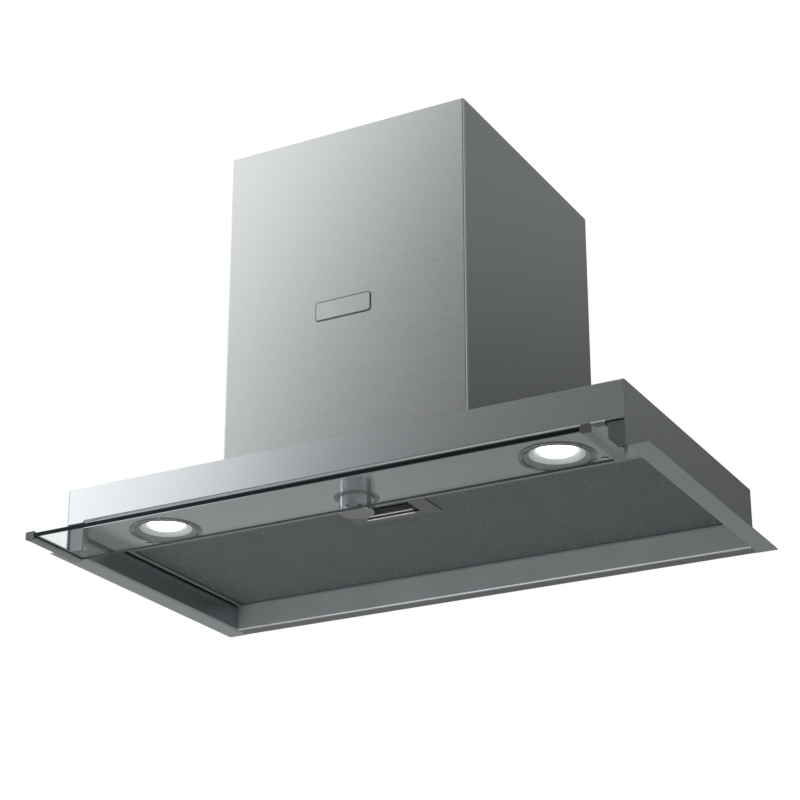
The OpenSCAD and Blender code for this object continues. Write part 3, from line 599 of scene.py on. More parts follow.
def bent_sheet(
    bm: bmesh.types.BMesh, path: Sequence[Flat], thick: float, bend: float, place: Place,
    low: float, high: float, mitre: Flat = (0.0, 0.0),
) -> None:
    """Adds a folded sheet drawn out along an axis.

    Args:
        bm: The mesh to add to.
        path: Corners of the sheet's middle line, in millimetres.
        thick: Thickness of the sheet.
        bend: Inner radius of its bends.
        place: Turns a point of the profile and a distance along it into a point in metres.
        low: Its start.
        high: Its end.
        mitre: How far its start and end close in for each millimetre of the profile's first coordinate.
    """
    line = bent_line(path, bend + thick / 2)
    rings = []
    for w, slope in ((low, mitre[0]), (high, -mitre[1])):
        pairs = []
        for point, normal in line:
            both = (point + normal * thick / 2, point - normal * thick / 2)
            pairs.append([bm.verts.new(place(p.x, p.y, w + slope * p.x)) for p in both])
        rings.append(pairs)
    near, far = rings
    for i in range(len(line) - 1):
        bm.faces.new((near[i][0], near[i + 1][0], far[i + 1][0], far[i][0]))
        bm.faces.new((near[i][1], far[i][1], far[i + 1][1], near[i + 1][1]))
        bm.faces.new((near[i][0], near[i][1], near[i + 1][1], near[i + 1][0]))
        bm.faces.new((far[i][0], far[i + 1][0], far[i + 1][1], far[i][1]))
    for i in (0, -1):
        bm.faces.new((near[i][0], far[i][0], far[i][1], near[i][1]))


def loft(bm: bmesh.types.BMesh, loops: Sequence[Sequence[bmesh.types.BMVert]]) -> None:
    """Joins each closed loop of corners to the next one."""
    for a, b in zip(loops, loops[1:]):
        for i in range(len(a)):
            j = (i + 1) % len(a)
            bm.faces.new((a[i], a[j], b[j], b[i]))


def slab(
    bm: bmesh.types.BMesh, outline: Sequence[Flat], axis: Axis, low: float, high: float,
) -> None:
    """Adds a prism.

    Args:
        bm: The mesh to add to.
        outline: Corners in the two other axes, in millimetres.
        axis: The axis it is drawn out along.
        low: Its start.
        high: Its end.
    """
    floor = [bm.verts.new(axis.spot(u, v, low)) for u, v in outline]
    roof = [bm.verts.new(axis.spot(u, v, high)) for u, v in outline]
    bm.faces.new(floor)
    bm.faces.new(roof[::-1])
    loft(bm, [floor, roof])


def block(bm: bmesh.types.BMesh, low: Spot, high: Spot) -> None:
    """Adds a straight block between two corners, in millimetres."""
    slab(bm, [(low[0], low[1]), (high[0], low[1]), (high[0], high[1]), (low[0], high[1])],
         Axis.Z, low[2], high[2])


def side_block(bm: bmesh.types.BMesh, side: int, x: Flat, y: Flat, z: Flat) -> None:
    """Adds a straight block on one side of the middle.

    Args:
        bm: The mesh to add to.
        side: -1 for the left, 1 for the right.
        x: How far its two faces are from the middle, in millimetres.
        y: Its start and end in Y.
        z: Its underside and top.
    """
    near, far = sorted((side * x[0], side * x[1]))
    block(bm, (near, y[0], z[0]), (far, y[1], z[1]))


def rounded(width: float, height: float, radius: float, steps: int = 6) -> list[Flat]:
    """The outline of a rounded rectangle round the origin.

    Args:
        width: Full width in millimetres.
        height: Full height.
        radius: Corner radius.
        steps: Segments of each corner.

    Returns:
        Its corners, anticlockwise.
    """
    outline = []
    for quarter, (sx, sy) in enumerate(((1, 1), (-1, 1), (-1, -1), (1, -1))):
        for step in range(steps + 1):
            angle = math.pi / 2 * (quarter + step / steps)
            outline.append((
                sx * (width / 2 - radius) + radius * math.cos(angle),
                sy * (height / 2 - radius) + radius * math.sin(angle),
            ))
    return outline


def lathe(
    bm: bmesh.types.BMesh, profile: Sequence[Flat], centre: Spot, steps: int = 96, ribs: int = 0,
    rib: float = 0.0,
) -> None:
    """Turns a profile round a vertical axis.

    Args:
        bm: The mesh to add to.
        profile: Radius and height pairs in millimetres; a closed loop unless an end lies on the axis.
        centre: Point on the axis at height nought, in millimetres.
        steps: Segments round the axis.
        ribs: Number of ribs round it.
        rib: Depth of the ribs.
    """
    rings = []
    for radius, height in profile:
        count = steps if radius > 0 else 1
        ring = []
        for step in range(count):
            angle = 2 * math.pi * step / steps
            r = radius - rib * (0.5 - 0.5 * math.cos(ribs * angle)) if radius > 0 else 0.0
            ring.append(bm.verts.new(Vector((
                centre[0] + r * math.cos(angle), centre[1] + r * math.sin(angle), centre[2] + height,
            )) * MM))
        rings.append(ring)
    pairs = list(zip(rings, rings[1:]))
    if len(rings[0]) > 1 and len(rings[-1]) > 1:
        pairs.append((rings[-1], rings[0]))
    for a, b in pairs:
        for i in range(steps):
            j = (i + 1) % steps
            if len(a) == 1:
                bm.faces.new((a[0], b[i], b[j]))
            elif len(b) == 1:
                bm.faces.new((a[i], b[0], a[j]))
            else:
                bm.faces.new((a[i], b[i], b[j], a[j]))


def holed_plate(
    bm: bmesh.types.BMesh, outline: Sequence[Flat], hole: Sequence[Flat], low: float, high: float,
) -> None:
    """Adds a flat plate with one opening through it.

    Args:
        bm: The mesh to add to.
        outline: Its outer corners in X and Y, in millimetres.
        hole: Corners of the opening.
        low: Height of its underside.
        high: Height of its top.
    """
    sheets = []
    for z in (low, high):
        loops = []
        edges = []
        for loop in (outline, hole):
            spots = [bm.verts.new(Vector((x, y, z)) * MM) for x, y in loop]
            edges += [bm.edges.new((spots[i], spots[(i + 1) % len(spots)])) for i in range(len(spots))]
            loops.append(spots)
        bmesh.ops.triangle_fill(bm, use_beauty=True, edges=edges)
        sheets.append(loops)
    for under, over in zip(*sheets):
        loft(bm, [under, over])


@dataclass
class Screw:
    """A pan-head screw with a cross recess, sizes in millimetres."""

    radius: float = 3.0
    height: float = 1.8
    shank: float = 1.6
    length: float = 6.0
    recess: float = 0.3

    def build(self, bm: bmesh.types.BMesh, seat: Spot, way: int) -> None:
        """Adds one screw.

        Args:
            bm: The mesh to add to.
            seat: Where its head meets the sheet, in millimetres.
            way: 1 for a head above the seat, -1 for one below it.
        """
        r, h = self.radius, self.height
        slot = r * self.recess * 0.5
        arm = r * 0.58
        x, y, z = seat
        lathe(bm, [
            (0, 0.5 * h * way), (arm + 0.1, 0.5 * h * way), (0.97 * r, 0.42 * h * way), (r, 0.25 * h * way),
            (r, 0), (self.shank, 0), (self.shank, -self.length * way), (0, -self.length * way),
        ], seat, 32)
        rim = [(r * 0.97 * math.cos(a), r * 0.97 * math.sin(a)) for a in self.turns(32)]
        cross = [(slot, slot), (slot, arm), (-slot, arm), (-slot, slot), (-arm, slot), (-arm, -slot),
                 (-slot, -slot), (-slot, -arm), (slot, -arm), (slot, -slot), (arm, -slot), (arm, slot)]
        crown = bmesh.new()
        low, high = sorted((z + 0.42 * h * way, z + h * way))
        holed_plate(crown, [(x + u, y + v) for u, v in rim], [(x + u, y + v) for u, v in cross], low, high)
        for spot in crown.verts:
            reach = math.hypot(spot.co.x - x * MM, spot.co.y - y * MM) / (r * MM)
            top = abs(spot.co.z - (z + h * way) * MM) < 1e-6
            if top and reach > 0.9:
                spot.co.z = (z + 0.45 * h * way) * MM
        shell = bpy.data.meshes.new("crown")
        crown.to_mesh(shell)
        crown.free()
        bm.from_mesh(shell)
        bpy.data.meshes.remove(shell)

    @staticmethod
    def turns(count: int) -> list[float]:
        """Angles spread evenly round a circle."""
        return [2 * math.pi * i / count for i in range(count)]


def both(maker: Callable[[int], None]) -> None:
    """Runs a maker for the left side, -1, and the right side, 1."""
    for side in (-1, 1):
        maker(side)


def hand(side: int) -> str:
    """The word that a side's names end in."""
    return "left" if side < 0 else "right"


@dataclass
class Canopy:
    """The folded steel shell: side panels with flanges, fascia, liner, corner posts and top plate."""

    half_w: float = 280.0
    front: float = -150.0
    rear: float = 150.0
    height: float = 58.5
    sheet: float = 1.0
    bend: float = 0.6
    fascia_bend: float = 1.3
    liner_bend: float = 1.1
    flange_out: float = 299.0
    flange_front: float = -148.5
    flange_rear: float = 161.5
    fascia_h: float = 34.2
    fascia_return: float = 10.0
    post_in: float = 262.0
    post_front: float = -148.0
    post_return: float = -141.0
    fold: float = 10.0
    liner: float = 144.7
    liner_top: float = -22.0
    strip_rear: float = 160.5
    window_x: float = 179.0
    window_half: float = 15.3
    window_low: float = -33.65
    window_top: float = -27.1
    panel_low: float = -37.9
    fold_gap: float = 1.0
    post_head: float = 0.5

    def side_panel(self, side: int) -> None:
        """One side panel with its flange along the bottom and its fold under the top plate."""
        bm = bmesh.new()
        mid = side * (self.half_w - self.sheet / 2)
        foot = self.sheet / 2 - self.height
        profile = [(mid, 0.0), (mid, foot), (side * self.flange_out, foot)]
        bent_sheet(bm, profile, self.sheet, self.bend, Axis.Y.spot, self.flange_front, self.rear)
        inner = self.half_w - self.sheet
        side_block(bm, side, (inner, self.half_w), (self.front, self.flange_front), (-self.height, 0))
        side_block(bm, side, (inner, self.flange_out), (self.rear, self.flange_rear),
                   (-self.height, self.sheet - self.height))
        setback = self.fold + self.fold_gap
        side_block(bm, side, (inner - self.fold, self.half_w - self.sheet / 2),
                   (self.front + setback, self.rear - setback), (-2 * self.sheet, -self.sheet))
        sheet = add_piece(bm, f"side_sheet_{hand(side)}", SHEET_SIDE, "housing",
                          [f"side_panel_{hand(side)}"])
        # Painted light: the walls take the lighter copy, while the flange and folds keep the darker one.
        refinish(sheet, SIDE_WALL_LIT, lambda normal, spot: abs(normal.x) > 0.9)

    def fascia(self) -> None:
        """The front fascia, folded back along its bottom edge between the corner posts."""
        bm = bmesh.new()
        inner = self.half_w - self.sheet
        mid = self.front + self.sheet / 2
        foot = self.sheet / 2 - self.fascia_h
        profile = [(mid, 0.0), (mid, foot), (self.front + self.fascia_return, foot)]
        bent_sheet(bm, profile, self.sheet, self.fascia_bend, Axis.X.spot, -self.post_in, self.post_in)
        for side in (-1, 1):
            side_block(bm, side, (self.post_in, inner), (self.front, self.front + self.sheet),
                       (-self.fascia_h, 0))
        block(bm, (-inner, mid, -2 * self.sheet),
              (inner, self.front + self.fold + self.sheet, -self.sheet))
        sheet = add_piece(bm, "fascia_sheet", SHEET, "housing", ["front_fascia"])
        refinish(sheet, BEND, lambda normal, spot: normal.y < -0.2 and -0.95 < normal.z < -0.2)

    def rear_liner(self) -> None:
        """The recess's rear wall, with a window for each filter tab and the strip behind it."""
        bm = bmesh.new()
        mid = self.liner + self.sheet / 2
        roof = self.liner_top - self.sheet / 2
        foot = self.sheet / 2 - self.height
        head = (self.rear - self.sheet, roof)
        whole = [head, (mid, roof), (mid, foot), (self.strip_rear, foot)]
        above = [head, (mid, roof), (mid, self.window_top)]
        below = [(mid, self.window_low), (mid, foot), (self.strip_rear, foot)]
        inner = self.half_w - self.sheet
        near, far = self.window_x - self.window_half, self.window_x + self.window_half
        for low, high in ((-inner, -far), (-near, near), (far, inner)):
            bent_sheet(bm, whole, self.sheet, self.liner_bend, Axis.X.spot, low, high)
        for low, high in ((-far, -near), (near, far)):
            bent_sheet(bm, above, self.sheet, self.liner_bend, Axis.X.spot, low, high)
            bent_sheet(bm, below, self.sheet, self.liner_bend, Axis.X.spot, low, high)
        liner = add_piece(bm, "liner_sheet", SHEET_LINER, "housing", ["rear_liner"])
        # Painted shade: the downward faces of the strip take the dark copy.
        refinish(liner, LINER_STRIP_SHADED, lambda normal, spot: normal.z < -0.95)
        refinish(liner, BEND, lambda normal, spot: normal.y < -0.2 and -0.95 < normal.z < -0.2)

    def corner_post(self, side: int) -> None:
        """One corner post with its inner return."""
        bm = bmesh.new()
        mid = self.post_front + self.sheet / 2
        inner = self.post_in + self.sheet / 2
        outer = self.half_w - self.sheet
        profile = [(side * outer, mid), (side * inner, mid), (side * inner, self.post_return)]
        bent_sheet(bm, profile, self.sheet, self.bend, Axis.Z.spot, -self.height, self.panel_low)
        side_block(bm, side, (self.post_in, outer), (self.post_front, self.post_front + self.sheet),
                   (self.panel_low, -self.fascia_h - self.post_head))
        # The post takes the darker copy of the sheet steel: painted shade.
        post = add_piece(bm, f"post_sheet_{hand(side)}", SHEET_POST_SHADED, "housing",
                         [f"corner_post_{hand(side)}"])
        # Painted shade: the post's downward faces take the near-black finish.
        refinish(post, SHADOW, lambda normal, spot: normal.z < -0.9)

    def build(self) -> None:
        """Builds the shell and dresses the CAD sheets that stay."""
        both(self.side_panel)
        self.fascia()
        self.rear_liner()
        both(self.corner_post)
        paint(["rear_panel", "top_plate"], SHEET)


@dataclass
class LampPanel:
    """The panel under the canopy's front, with its two lamps, hangers and screws."""

    underside: float = -37.9
    lamp_x: float = 199.0
    lamp_y: float = -107.0
    bezel_r: float = 34.0
    sleeve_in: float = 29.4
    sleeve_out: float = 30.7
    sleeve_h: float = 10.0
    lip: float = -1.2
    groove: float = 0.7
    groove_h: float = 0.9
    groove_r: Flat = (32.6, 30.3)
    cone_out: float = 29.1
    cone_in: float = 16.2
    cone_low: float = -0.4
    cone_high: float = 8.4
    lens_r: float = 15.2
    lens_seat: float = 22.0
    lens_proud: float = 4.5
    bright_r: float = 23.5
    soft_r: float = 33.4
    soft_half: float = 0.35
    screw_x: float = 233.0
    screw_y: float = -84.0

    def centre(self, side: int) -> Spot:
        """The middle of a lamp on the panel's underside."""
        return (side * self.lamp_x, self.lamp_y, self.underside)

    def bezel(self, side: int) -> None:
        """The flat ring, with two turned grooves, and its sleeve."""
        bm = bmesh.new()
        lip = self.lip
        profile = [(self.bezel_r, 0), (self.bezel_r, -0.35), (self.bezel_r - 0.25, -0.75),
                   (self.bezel_r - 0.9, lip)]
        for r in self.groove_r:
            profile += [(r + self.groove, lip), (r + self.groove * 0.6, lip + self.groove_h),
                        (r - self.groove * 0.6, lip + self.groove_h), (r - self.groove, lip)]
        profile += [(self.sleeve_in + 0.3, lip), (self.sleeve_in, lip + 0.3),
                    (self.sleeve_in, self.sleeve_h), (self.sleeve_out, self.sleeve_h), (self.sleeve_out, 0)]
        lathe(bm, profile, self.centre(side), 128)
        ring = add_piece(bm, f"bezel_ring_{hand(side)}", BEZEL, "housing",
                         [f"lamp_bezel_{hand(side)}"])
        rim = Vector(self.centre(side)).xy * MM
        # Painted shade: the upright faces, groove walls and sleeve included, go near-black; the band round
        # soft_r keeps the bezel's tone.
        refinish(ring, GROOVE_SHADE, lambda normal, spot: abs(normal.z) < 0.9
                 and abs((spot.xy - rim).length - self.soft_r * MM) > self.soft_half * MM)

    def reflector(self, side: int) -> None:
        """The cone between the ring and the lens, slightly dished."""
        bm = bmesh.new()
        inside = []
        for step in range(9):
            part = step / 8
            r = self.cone_out + (self.cone_in - self.cone_out) * part
            z = self.cone_low + 0.3 + (self.cone_high - 1.3 - self.cone_low) * (part ** 1.15)
            inside.append((r, z))
        profile = [(self.cone_out, self.cone_low)] + inside + [
            (self.cone_in, self.cone_high), (self.lens_seat + 0.3, self.cone_high), (self.cone_out, 0.9)]
        lathe(bm, profile, self.centre(side), 128)
        cone = add_piece(bm, f"cone_{hand(side)}", REFLECTOR, "housing",
                         [f"lamp_reflector_{hand(side)}"])
        middle = Vector(self.centre(side)).xy * MM
        # Painted shade: beyond bright_r the cone takes the darker copy.
        refinish(cone, CONE_RIM_SHADE, lambda normal, spot: (spot.xy - middle).length > self.bright_r * MM)

    def lens(self, side: int) -> None:
        """The frosted lens, domed on its lit face."""
        bm = bmesh.new()
        face = self.cone_high - self.lens_proud
        profile = [(0, face), (self.lens_r * 0.6, face + 0.05), (self.lens_r * 0.9, face + 0.15),
                   (self.lens_r, face + 0.5), (self.lens_r, self.cone_high),
                   (self.lens_seat, self.cone_high), (self.lens_seat, self.cone_high + 1),
                   (0, self.cone_high + 1)]
        lathe(bm, profile, self.centre(side), 96)
        add_piece(bm, f"lens_{hand(side)}", LENS, "housing", [f"lamp_lens_{hand(side)}"])

    def build(self) -> None:
        """Builds the lamps and screws and dresses the rest."""
        for make in (self.bezel, self.reflector, self.lens):
            both(make)
        bm = bmesh.new()
        screw = Screw(3.2, 1.6, 1.75, 9.0, 0.32)
        for side in (-1, 1):
            screw.build(bm, (side * self.screw_x, self.screw_y, self.underside), -1)
        screws = add_piece(bm, "hanger_screws", SCREW, "housing", ["panel_screws"])
        # Painted shade: the cross recess and the faces near the panel take the near-black finish.
        refinish(screws, SHADOW, lambda normal, spot: spot.z > (self.underside - 0.9) * MM)
        paint(["lamp_panel"], SHEET_PANEL)
        paint(["panel_hangers", "latch_keeper"], ZINC)
        paint(["lamp_can_left", "lamp_can_right"], CAN)
        paint(["led_driver", "capacitor"], WHITE)
        paint(["selector_switch", "control_unit"], BLACK)


@dataclass
class Control:
    """The rotary knob that stands out under the lamp panel, with its ring and generic marks."""

    y: float = -100.0
    panel: float = -37.9
    radius: float = 16.0
    length: float = 16.4
    sink: float = 1.4
    spindle_r: float = 3.0
    spindle_top: float = 14.0
    mark: float = 0.06
    mark_sink: float = 0.05
    mark_drop: float = 12.2

    def knob(self) -> None:
        """The turned cylinder with a rounded end edge and a dished face."""
        bm = bmesh.new()
        r, end = self.radius, -self.length
        profile = [
            (0, end + 0.35), (r * 0.55, end + 0.3), (r - 2.2, end + 0.05), (r - 1.2, end),
            (r - 0.6, end + 0.1), (r - 0.15, end + 0.5), (r, end + 1.1),
            (r, self.sink), (self.spindle_r, self.sink), (self.spindle_r, self.spindle_top),
            (0, self.spindle_top),
        ]
        lathe(bm, profile, (0, self.y, self.panel), 128)
        body = add_piece(bm, "knob_body", KNOB, "knob", ["control_knob"])
        # Painted shade: the downward end face takes the darker copy.
        refinish(body, KNOB_END_SHADE, lambda normal, spot: normal.z < -0.9)

    def on_skin(self, angle: float, height: float, proud: float) -> Vector:
        """A point on the knob's round face.

        Args:
            angle: Angle round the knob from +X, in radians.
            height: Height below the panel.
            proud: Distance out from the face.

        Returns:
            The point in metres.
        """
        r = self.radius + proud
        return Vector((r * math.cos(angle), self.y + r * math.sin(angle), self.panel - height)) * MM

    def marks(self) -> None:
        """A dot, a plus and a square, generic signs set round the knob near its free end."""
        bm = bmesh.new()
        shapes = {
            -122.6: [rounded(2.1, 2.1, 1.04, 4)],
            -91.6: [rounded(3.2, 0.85, 0.1, 2), rounded(0.85, 3.2, 0.1, 2)],
            -50.0: [rounded(2.7, 2.7, 0.3, 3)],
        }
        for turn, outlines in shapes.items():
            for outline in outlines:
                middle = math.radians(turn)
                rims = []
                for proud in (-self.mark_sink, self.mark):
                    rims.append([bm.verts.new(self.on_skin(
                        middle + u / self.radius, self.mark_drop + v, proud)) for u, v in outline])
                bm.faces.new(rims[0])
                bm.faces.new(rims[1][::-1])
                loft(bm, rims)
        add_piece(bm, "knob_signs", MARK, "knob")

    def build(self) -> None:
        """Builds the knob and dresses its ring."""
        self.knob()
        self.marks()
        # The ring takes the near-black finish: painted shade and reflection.
        paint(["knob_ring"], RING_SHADE)


@dataclass
class Visor:
    """The pull-out glass pane between its two bars, with end caps, slides and rails."""

    inner: float = 267.0
    outer: float = 276.0
    front: float = -215.0
    rear: float = -141.0
    low: float = -68.8
    high: float = -61.8
    cap: float = 2.5
    cap_proud: float = 0.3
    glass: float = 4.0
    groove: float = 3.0
    setback: float = 0.5
    chamfer: float = 0.4
    corner: float = 1.0
    play: float = 0.02

    def middle(self) -> float:
        """Height of the pane's middle."""
        return (self.low + self.high) / 2

    def pane(self) -> None:
        """The pane, with its chamfered edges painted dark as shade."""
        bm = bmesh.new()
        half, cut = self.glass / 2, self.chamfer
        wide, narrow = self.inner + self.groove, self.inner - self.cap_proud
        tip, step = self.front + self.setback, self.front + self.cap
        loops = []
        for inset, z in ((cut, -half), (0.0, cut - half), (0.0, half - cut), (cut, half)):
            outline = [
                (inset - narrow, tip + inset), (narrow - inset, tip + inset), (narrow - inset, step + inset),
                (wide - inset, step + inset), (wide - inset, self.rear - inset),
                (inset - wide, self.rear - inset), (inset - wide, step + inset),
                (inset - narrow, step + inset),
            ]
            loops.append([bm.verts.new(Vector((x, y, self.middle() + z)) * MM) for x, y in outline])
        bm.faces.new(loops[0])
        bm.faces.new(loops[-1])
        loft(bm, loops)
        pane = add_piece(bm, "visor_pane", PANE, "visor", ["visor_glass"])
        # Painted shade: the edge faces take the near-black finish.
        refinish(pane, PANE_EDGE_SHADE, lambda normal, spot: abs(normal.z) < 0.9)

    def bar(self, side: int) -> None:
        """One bar, with rounded corners and the groove that holds the pane."""
        bm = bmesh.new()
        mid, half = self.middle(), self.glass / 2 + self.play
        r = self.corner
        right, left, top, foot = self.outer - r, self.inner + r, self.high - r, self.low + r
        arcs = []
        centres = ((right, foot), (right, top), (left, top), (left, foot))
        for quarter, (u, v) in enumerate(centres, -1):
            turns = [math.radians(90 * quarter + 18 * step) for step in range(6)]
            arcs.append([(u + r * math.cos(a), v + r * math.sin(a)) for a in turns])
        deep = self.inner + self.groove
        notch = [(self.inner, mid + half), (deep, mid + half), (deep, mid - half), (self.inner, mid - half)]
        outline = arcs[0] + arcs[1] + arcs[2] + notch + arcs[3]
        slab(bm, [(side * u, v) for u, v in outline], Axis.Y, self.front + self.cap, self.rear)
        bar = add_piece(bm, f"bar_{hand(side)}", BAR, "visor", [f"visor_bar_{hand(side)}"])
        refinish(bar, BAR_SIDE, lambda normal, spot: abs(normal.x) > 0.9)

    def end_cap(self, side: int) -> None:
        """One cap on the front end of a bar."""
        bm = bmesh.new()
        centre = side * (self.inner + self.outer) / 2
        wide = self.outer - self.inner + 2 * self.cap_proud
        tall = self.high - self.low + 2 * self.cap_proud
        slab(bm, [(centre + u, self.middle() + v) for u, v in rounded(wide, tall, 1.2)],
             Axis.Y, self.front, self.front + self.cap)
        add_piece(bm, f"end_cap_{hand(side)}", CAP, "visor",
                  [f"visor_cap_{hand(side)}"], 0.4)

    def build(self) -> None:
        """Builds the pane, bars and caps and dresses the slides and rails."""
        self.pane()
        both(self.bar)
        both(self.end_cap)
        paint(["visor_rail_left", "visor_rail_right", "visor_slide_left", "visor_slide_right"], ZINC)


@dataclass
class Filter:
    """The grease filter: a mitred frame round expanded mesh, with a spring latch and finger handle."""

    half_w: float = 276.0
    front: float = -62.0
    rear: float = 144.0
    low: float = -33.8
    high: float = -24.0
    rim: float = 6.0
    step: float = 0.15
    sheet: float = 1.0
    bend: float = 0.6
    corner_gap: float = 0.06
    slot_play: float = 0.1
    bead_in: float = 0.7
    bead_out: float = 3.0
    bead_h: float = 0.5
    tab_lift: float = 0.2
    tab_x: float = 179.0
    tab_half: float = 15.0
    tab_rear: float = 148.0
    nose_in: float = 28.7
    nose_out: float = 37.3
    cell_x: float = 2.6
    cell_y: float = 5.0
    strand: float = 1.92
    strand_low: float = 0.05
    strand_high: float = 0.5
    plate_half: float = 44.0
    plate_rear: float = -17.5
    opening_half: float = 26.6
    opening_front: float = -55.0
    opening_rear: float = -28.7
    handle_half: float = 24.5
    handle_front: float = -41.0
    handle_rear: float = -35.0
    handle_low: float = -37.6
    handle_lip: float = -36.1
    handle_wall: float = 1.2
    handle_bend: float = 0.4
    hem_proud: float = 0.2
    hem_h: float = 1.3
    slider_low: float = -32.5
    slider_high: float = -30.5
    slider_half: float = 37.0
    slider_rear: float = -24.1
    nose_half: float = 29.0
    nose_tip: float = -66.6

    def frame(self) -> None:
        """Four channels of bent sheet, mitred at the corners and slotted for the latch."""
        bm = bmesh.new()
        half = self.sheet / 2
        under, over = self.low + half + self.step, self.high - half
        channel = [(self.rim, under), (half, under), (half, over), (self.rim, over)]
        lower = [(self.rim, under), (half, under), (half, self.slider_low - self.slot_play)]
        upper = [(half, self.slider_high + self.slot_play), (half, over), (self.rim, over)]
        sides: list[Place] = [
            lambda u, v, w: Vector((w, self.rear - u, v)) * MM,
            lambda u, v, w: Vector((u - self.half_w, w, v)) * MM,
            lambda u, v, w: Vector((self.half_w - u, w, v)) * MM,
        ]
        spans = [(-self.half_w, self.half_w), (self.front, self.rear), (self.front, self.rear)]
        for place, (low, high) in zip(sides, spans):
            bent_sheet(bm, channel, self.sheet, self.bend, place,
                       low + self.corner_gap, high - self.corner_gap, (1.0, 1.0))

        def along_front(u: float, v: float, w: float) -> Vector:
            """The front channel's point."""
            return Vector((w, self.front + u, v)) * MM

        end = self.half_w - self.corner_gap
        left, right = (-self.nose_out, -self.nose_in), (self.nose_in, self.nose_out)
        for outline, low, high, mitre in (
            (channel, -end, left[0], (1.0, 0.0)), (channel, left[1], right[0], (0.0, 0.0)),
            (channel, right[1], end, (0.0, 1.0)), (lower, *left, (0.0, 0.0)), (upper, *left, (0.0, 0.0)),
            (lower, *right, (0.0, 0.0)), (upper, *right, (0.0, 0.0)),
        ):
            bent_sheet(bm, outline, self.sheet, self.bend, along_front, low, high, mitre)
        tab_low = self.low + self.tab_lift
        for side in (-1, 1):
            side_block(bm, side, (self.tab_x - self.tab_half, self.tab_x + self.tab_half),
                       (self.rear - self.sheet, self.tab_rear), (tab_low, tab_low + self.sheet))
        add_piece(bm, "filter_channels", FILTER_RIM, "filter", ["filter_frame"])

    def beads(self) -> None:
        """The narrow raised line round the frame's underside."""
        bm = bmesh.new()
        near, far, top = self.bead_in, self.bead_out, self.low + self.bead_h
        for side in (-1, 1):
            side_block(bm, side, (self.half_w - near, self.half_w - far),
                       (self.front + near, self.rear - near), (self.low, top))
        for low, high in ((self.front + near, self.front + far), (self.rear - far, self.rear - near)):
            block(bm, (far - self.half_w, low, self.low), (self.half_w - far, high, top))
        # The bead takes the lighter copy: painted light.
        add_piece(bm, "frame_bead", FILTER_BEAD_LIT, "filter")

    def in_plate(self, x: float, y: float) -> bool:
        """Whether a corner of a strand would lie at the latch plate."""
        return abs(x) < self.plate_half - 1 and y < self.plate_rear - 1

    def strands(self) -> None:
        """Expanded mesh: zigzag strands whose peaks meet, left out where the latch plate is."""
        left, right = -self.half_w + self.rim - 1, self.half_w - self.rim + 1
        first, last = self.front + self.rim - 1, self.rear - self.rim + 1
        rise, half = self.cell_y / 2, self.cell_x / 2
        low, high = self.low + self.sheet + self.strand_low, self.low + self.sheet + self.strand_high
        rows = int((last - first) / rise)
        columns = int((right - left) / half)
        shift = self.strand / 2
        spots: list[Spot] = []
        faces: list[tuple[int, ...]] = []

        def corner(row: int, column: int) -> Flat:
            """A strand's corner, at a peak in every second column."""
            return left + column * half, first + (row + (row + column) % 2) * rise

        for row in range(rows):
            previous = None
            for column in range(columns + 1):
                x, y = corner(row, column)
                if self.in_plate(x, y):
                    previous = None
                    continue
                base = len(spots)
                for dy, z in ((-shift, low), (shift, low), (shift, high), (-shift, high)):
                    spots.append((x * MM, (y + dy) * MM, z * MM))
                if previous is None:
                    faces.append((base, base + 1, base + 2, base + 3))
                else:
                    for i in range(4):
                        j = (i + 1) % 4
                        faces.append((previous + i, previous + j, base + j, base + i))
                if column == columns or self.in_plate(*corner(row, column + 1)):
                    faces.append((base + 3, base + 2, base + 1, base))
                previous = base
        mesh = bpy.data.meshes.new("strands")
        mesh.from_pydata(spots, [], faces)
        bm = bmesh.new()
        bm.from_mesh(mesh)
        bpy.data.meshes.remove(mesh)
        add_piece(bm, "expanded_mesh", FILTER_WIRE, "filter", ["filter_mesh"])

    def latch_plate(self) -> None:
        """The plate round the finger opening, with softened edges."""
        bm = bmesh.new()
        front = self.front + self.rim
        middle = (front + self.plate_rear) / 2
        outline = [(x, middle + y) for x, y in rounded(
            2 * self.plate_half, self.plate_rear - front, 1.0, 3)]
        middle = (self.opening_front + self.opening_rear) / 2
        hole = [(x, middle + y) for x, y in rounded(
            2 * self.opening_half, self.opening_rear - self.opening_front, 0.5, 3)]
        holed_plate(bm, outline, hole, self.low, self.low + self.sheet)
        plate = add_piece(bm, "latch_surround", FILTER_RIM, "filter",
                          ["latch_plate"], 0.25)
        refinish(plate, LATCH_PLATE, lambda normal, spot: normal.z < -0.9)

    def latch(self) -> None:
        """The sliding latch: a plate with two noses and a folded finger handle."""
        bm = bmesh.new()
        wall = self.handle_wall
        half = wall / 2
        web = self.slider_low + half
        profile = [(self.handle_front + half, self.handle_lip), (self.handle_front + half, web),
                   (self.handle_rear - half, web), (self.handle_rear - half, self.handle_low)]
        bent_sheet(bm, profile, wall, self.handle_bend, Axis.X.spot, -self.handle_half, self.handle_half)
        block(bm, (-self.slider_half, self.handle_front, self.slider_low + wall),
              (self.slider_half, self.slider_rear, self.slider_high))
        for side in (-1, 1):
            side_block(bm, side, (self.nose_half, self.slider_half), (self.nose_tip, self.slider_rear),
                       (self.slider_low, self.slider_high))
        latch = add_piece(bm, "latch_handle", LATCH, "filter_latch", ["latch_slider"], 0.35)
        shade = (self.low + self.tab_lift) * MM
        # Painted shade: front-facing faces and faces above the shade height take the dark copy.
        refinish(latch, LATCH_SHADE, lambda normal, spot: normal.y < -0.9 or spot.z > shade)
        bm = bmesh.new()
        for y, z in ((self.handle_front, self.handle_lip), (self.handle_rear - wall, self.handle_low)):
            block(bm, (-self.handle_half, y - self.hem_proud, z),
                  (self.handle_half, y + wall + self.hem_proud, z + self.hem_h))
        add_piece(bm, "handle_hems", LATCH, "filter_latch", [], 0.3)

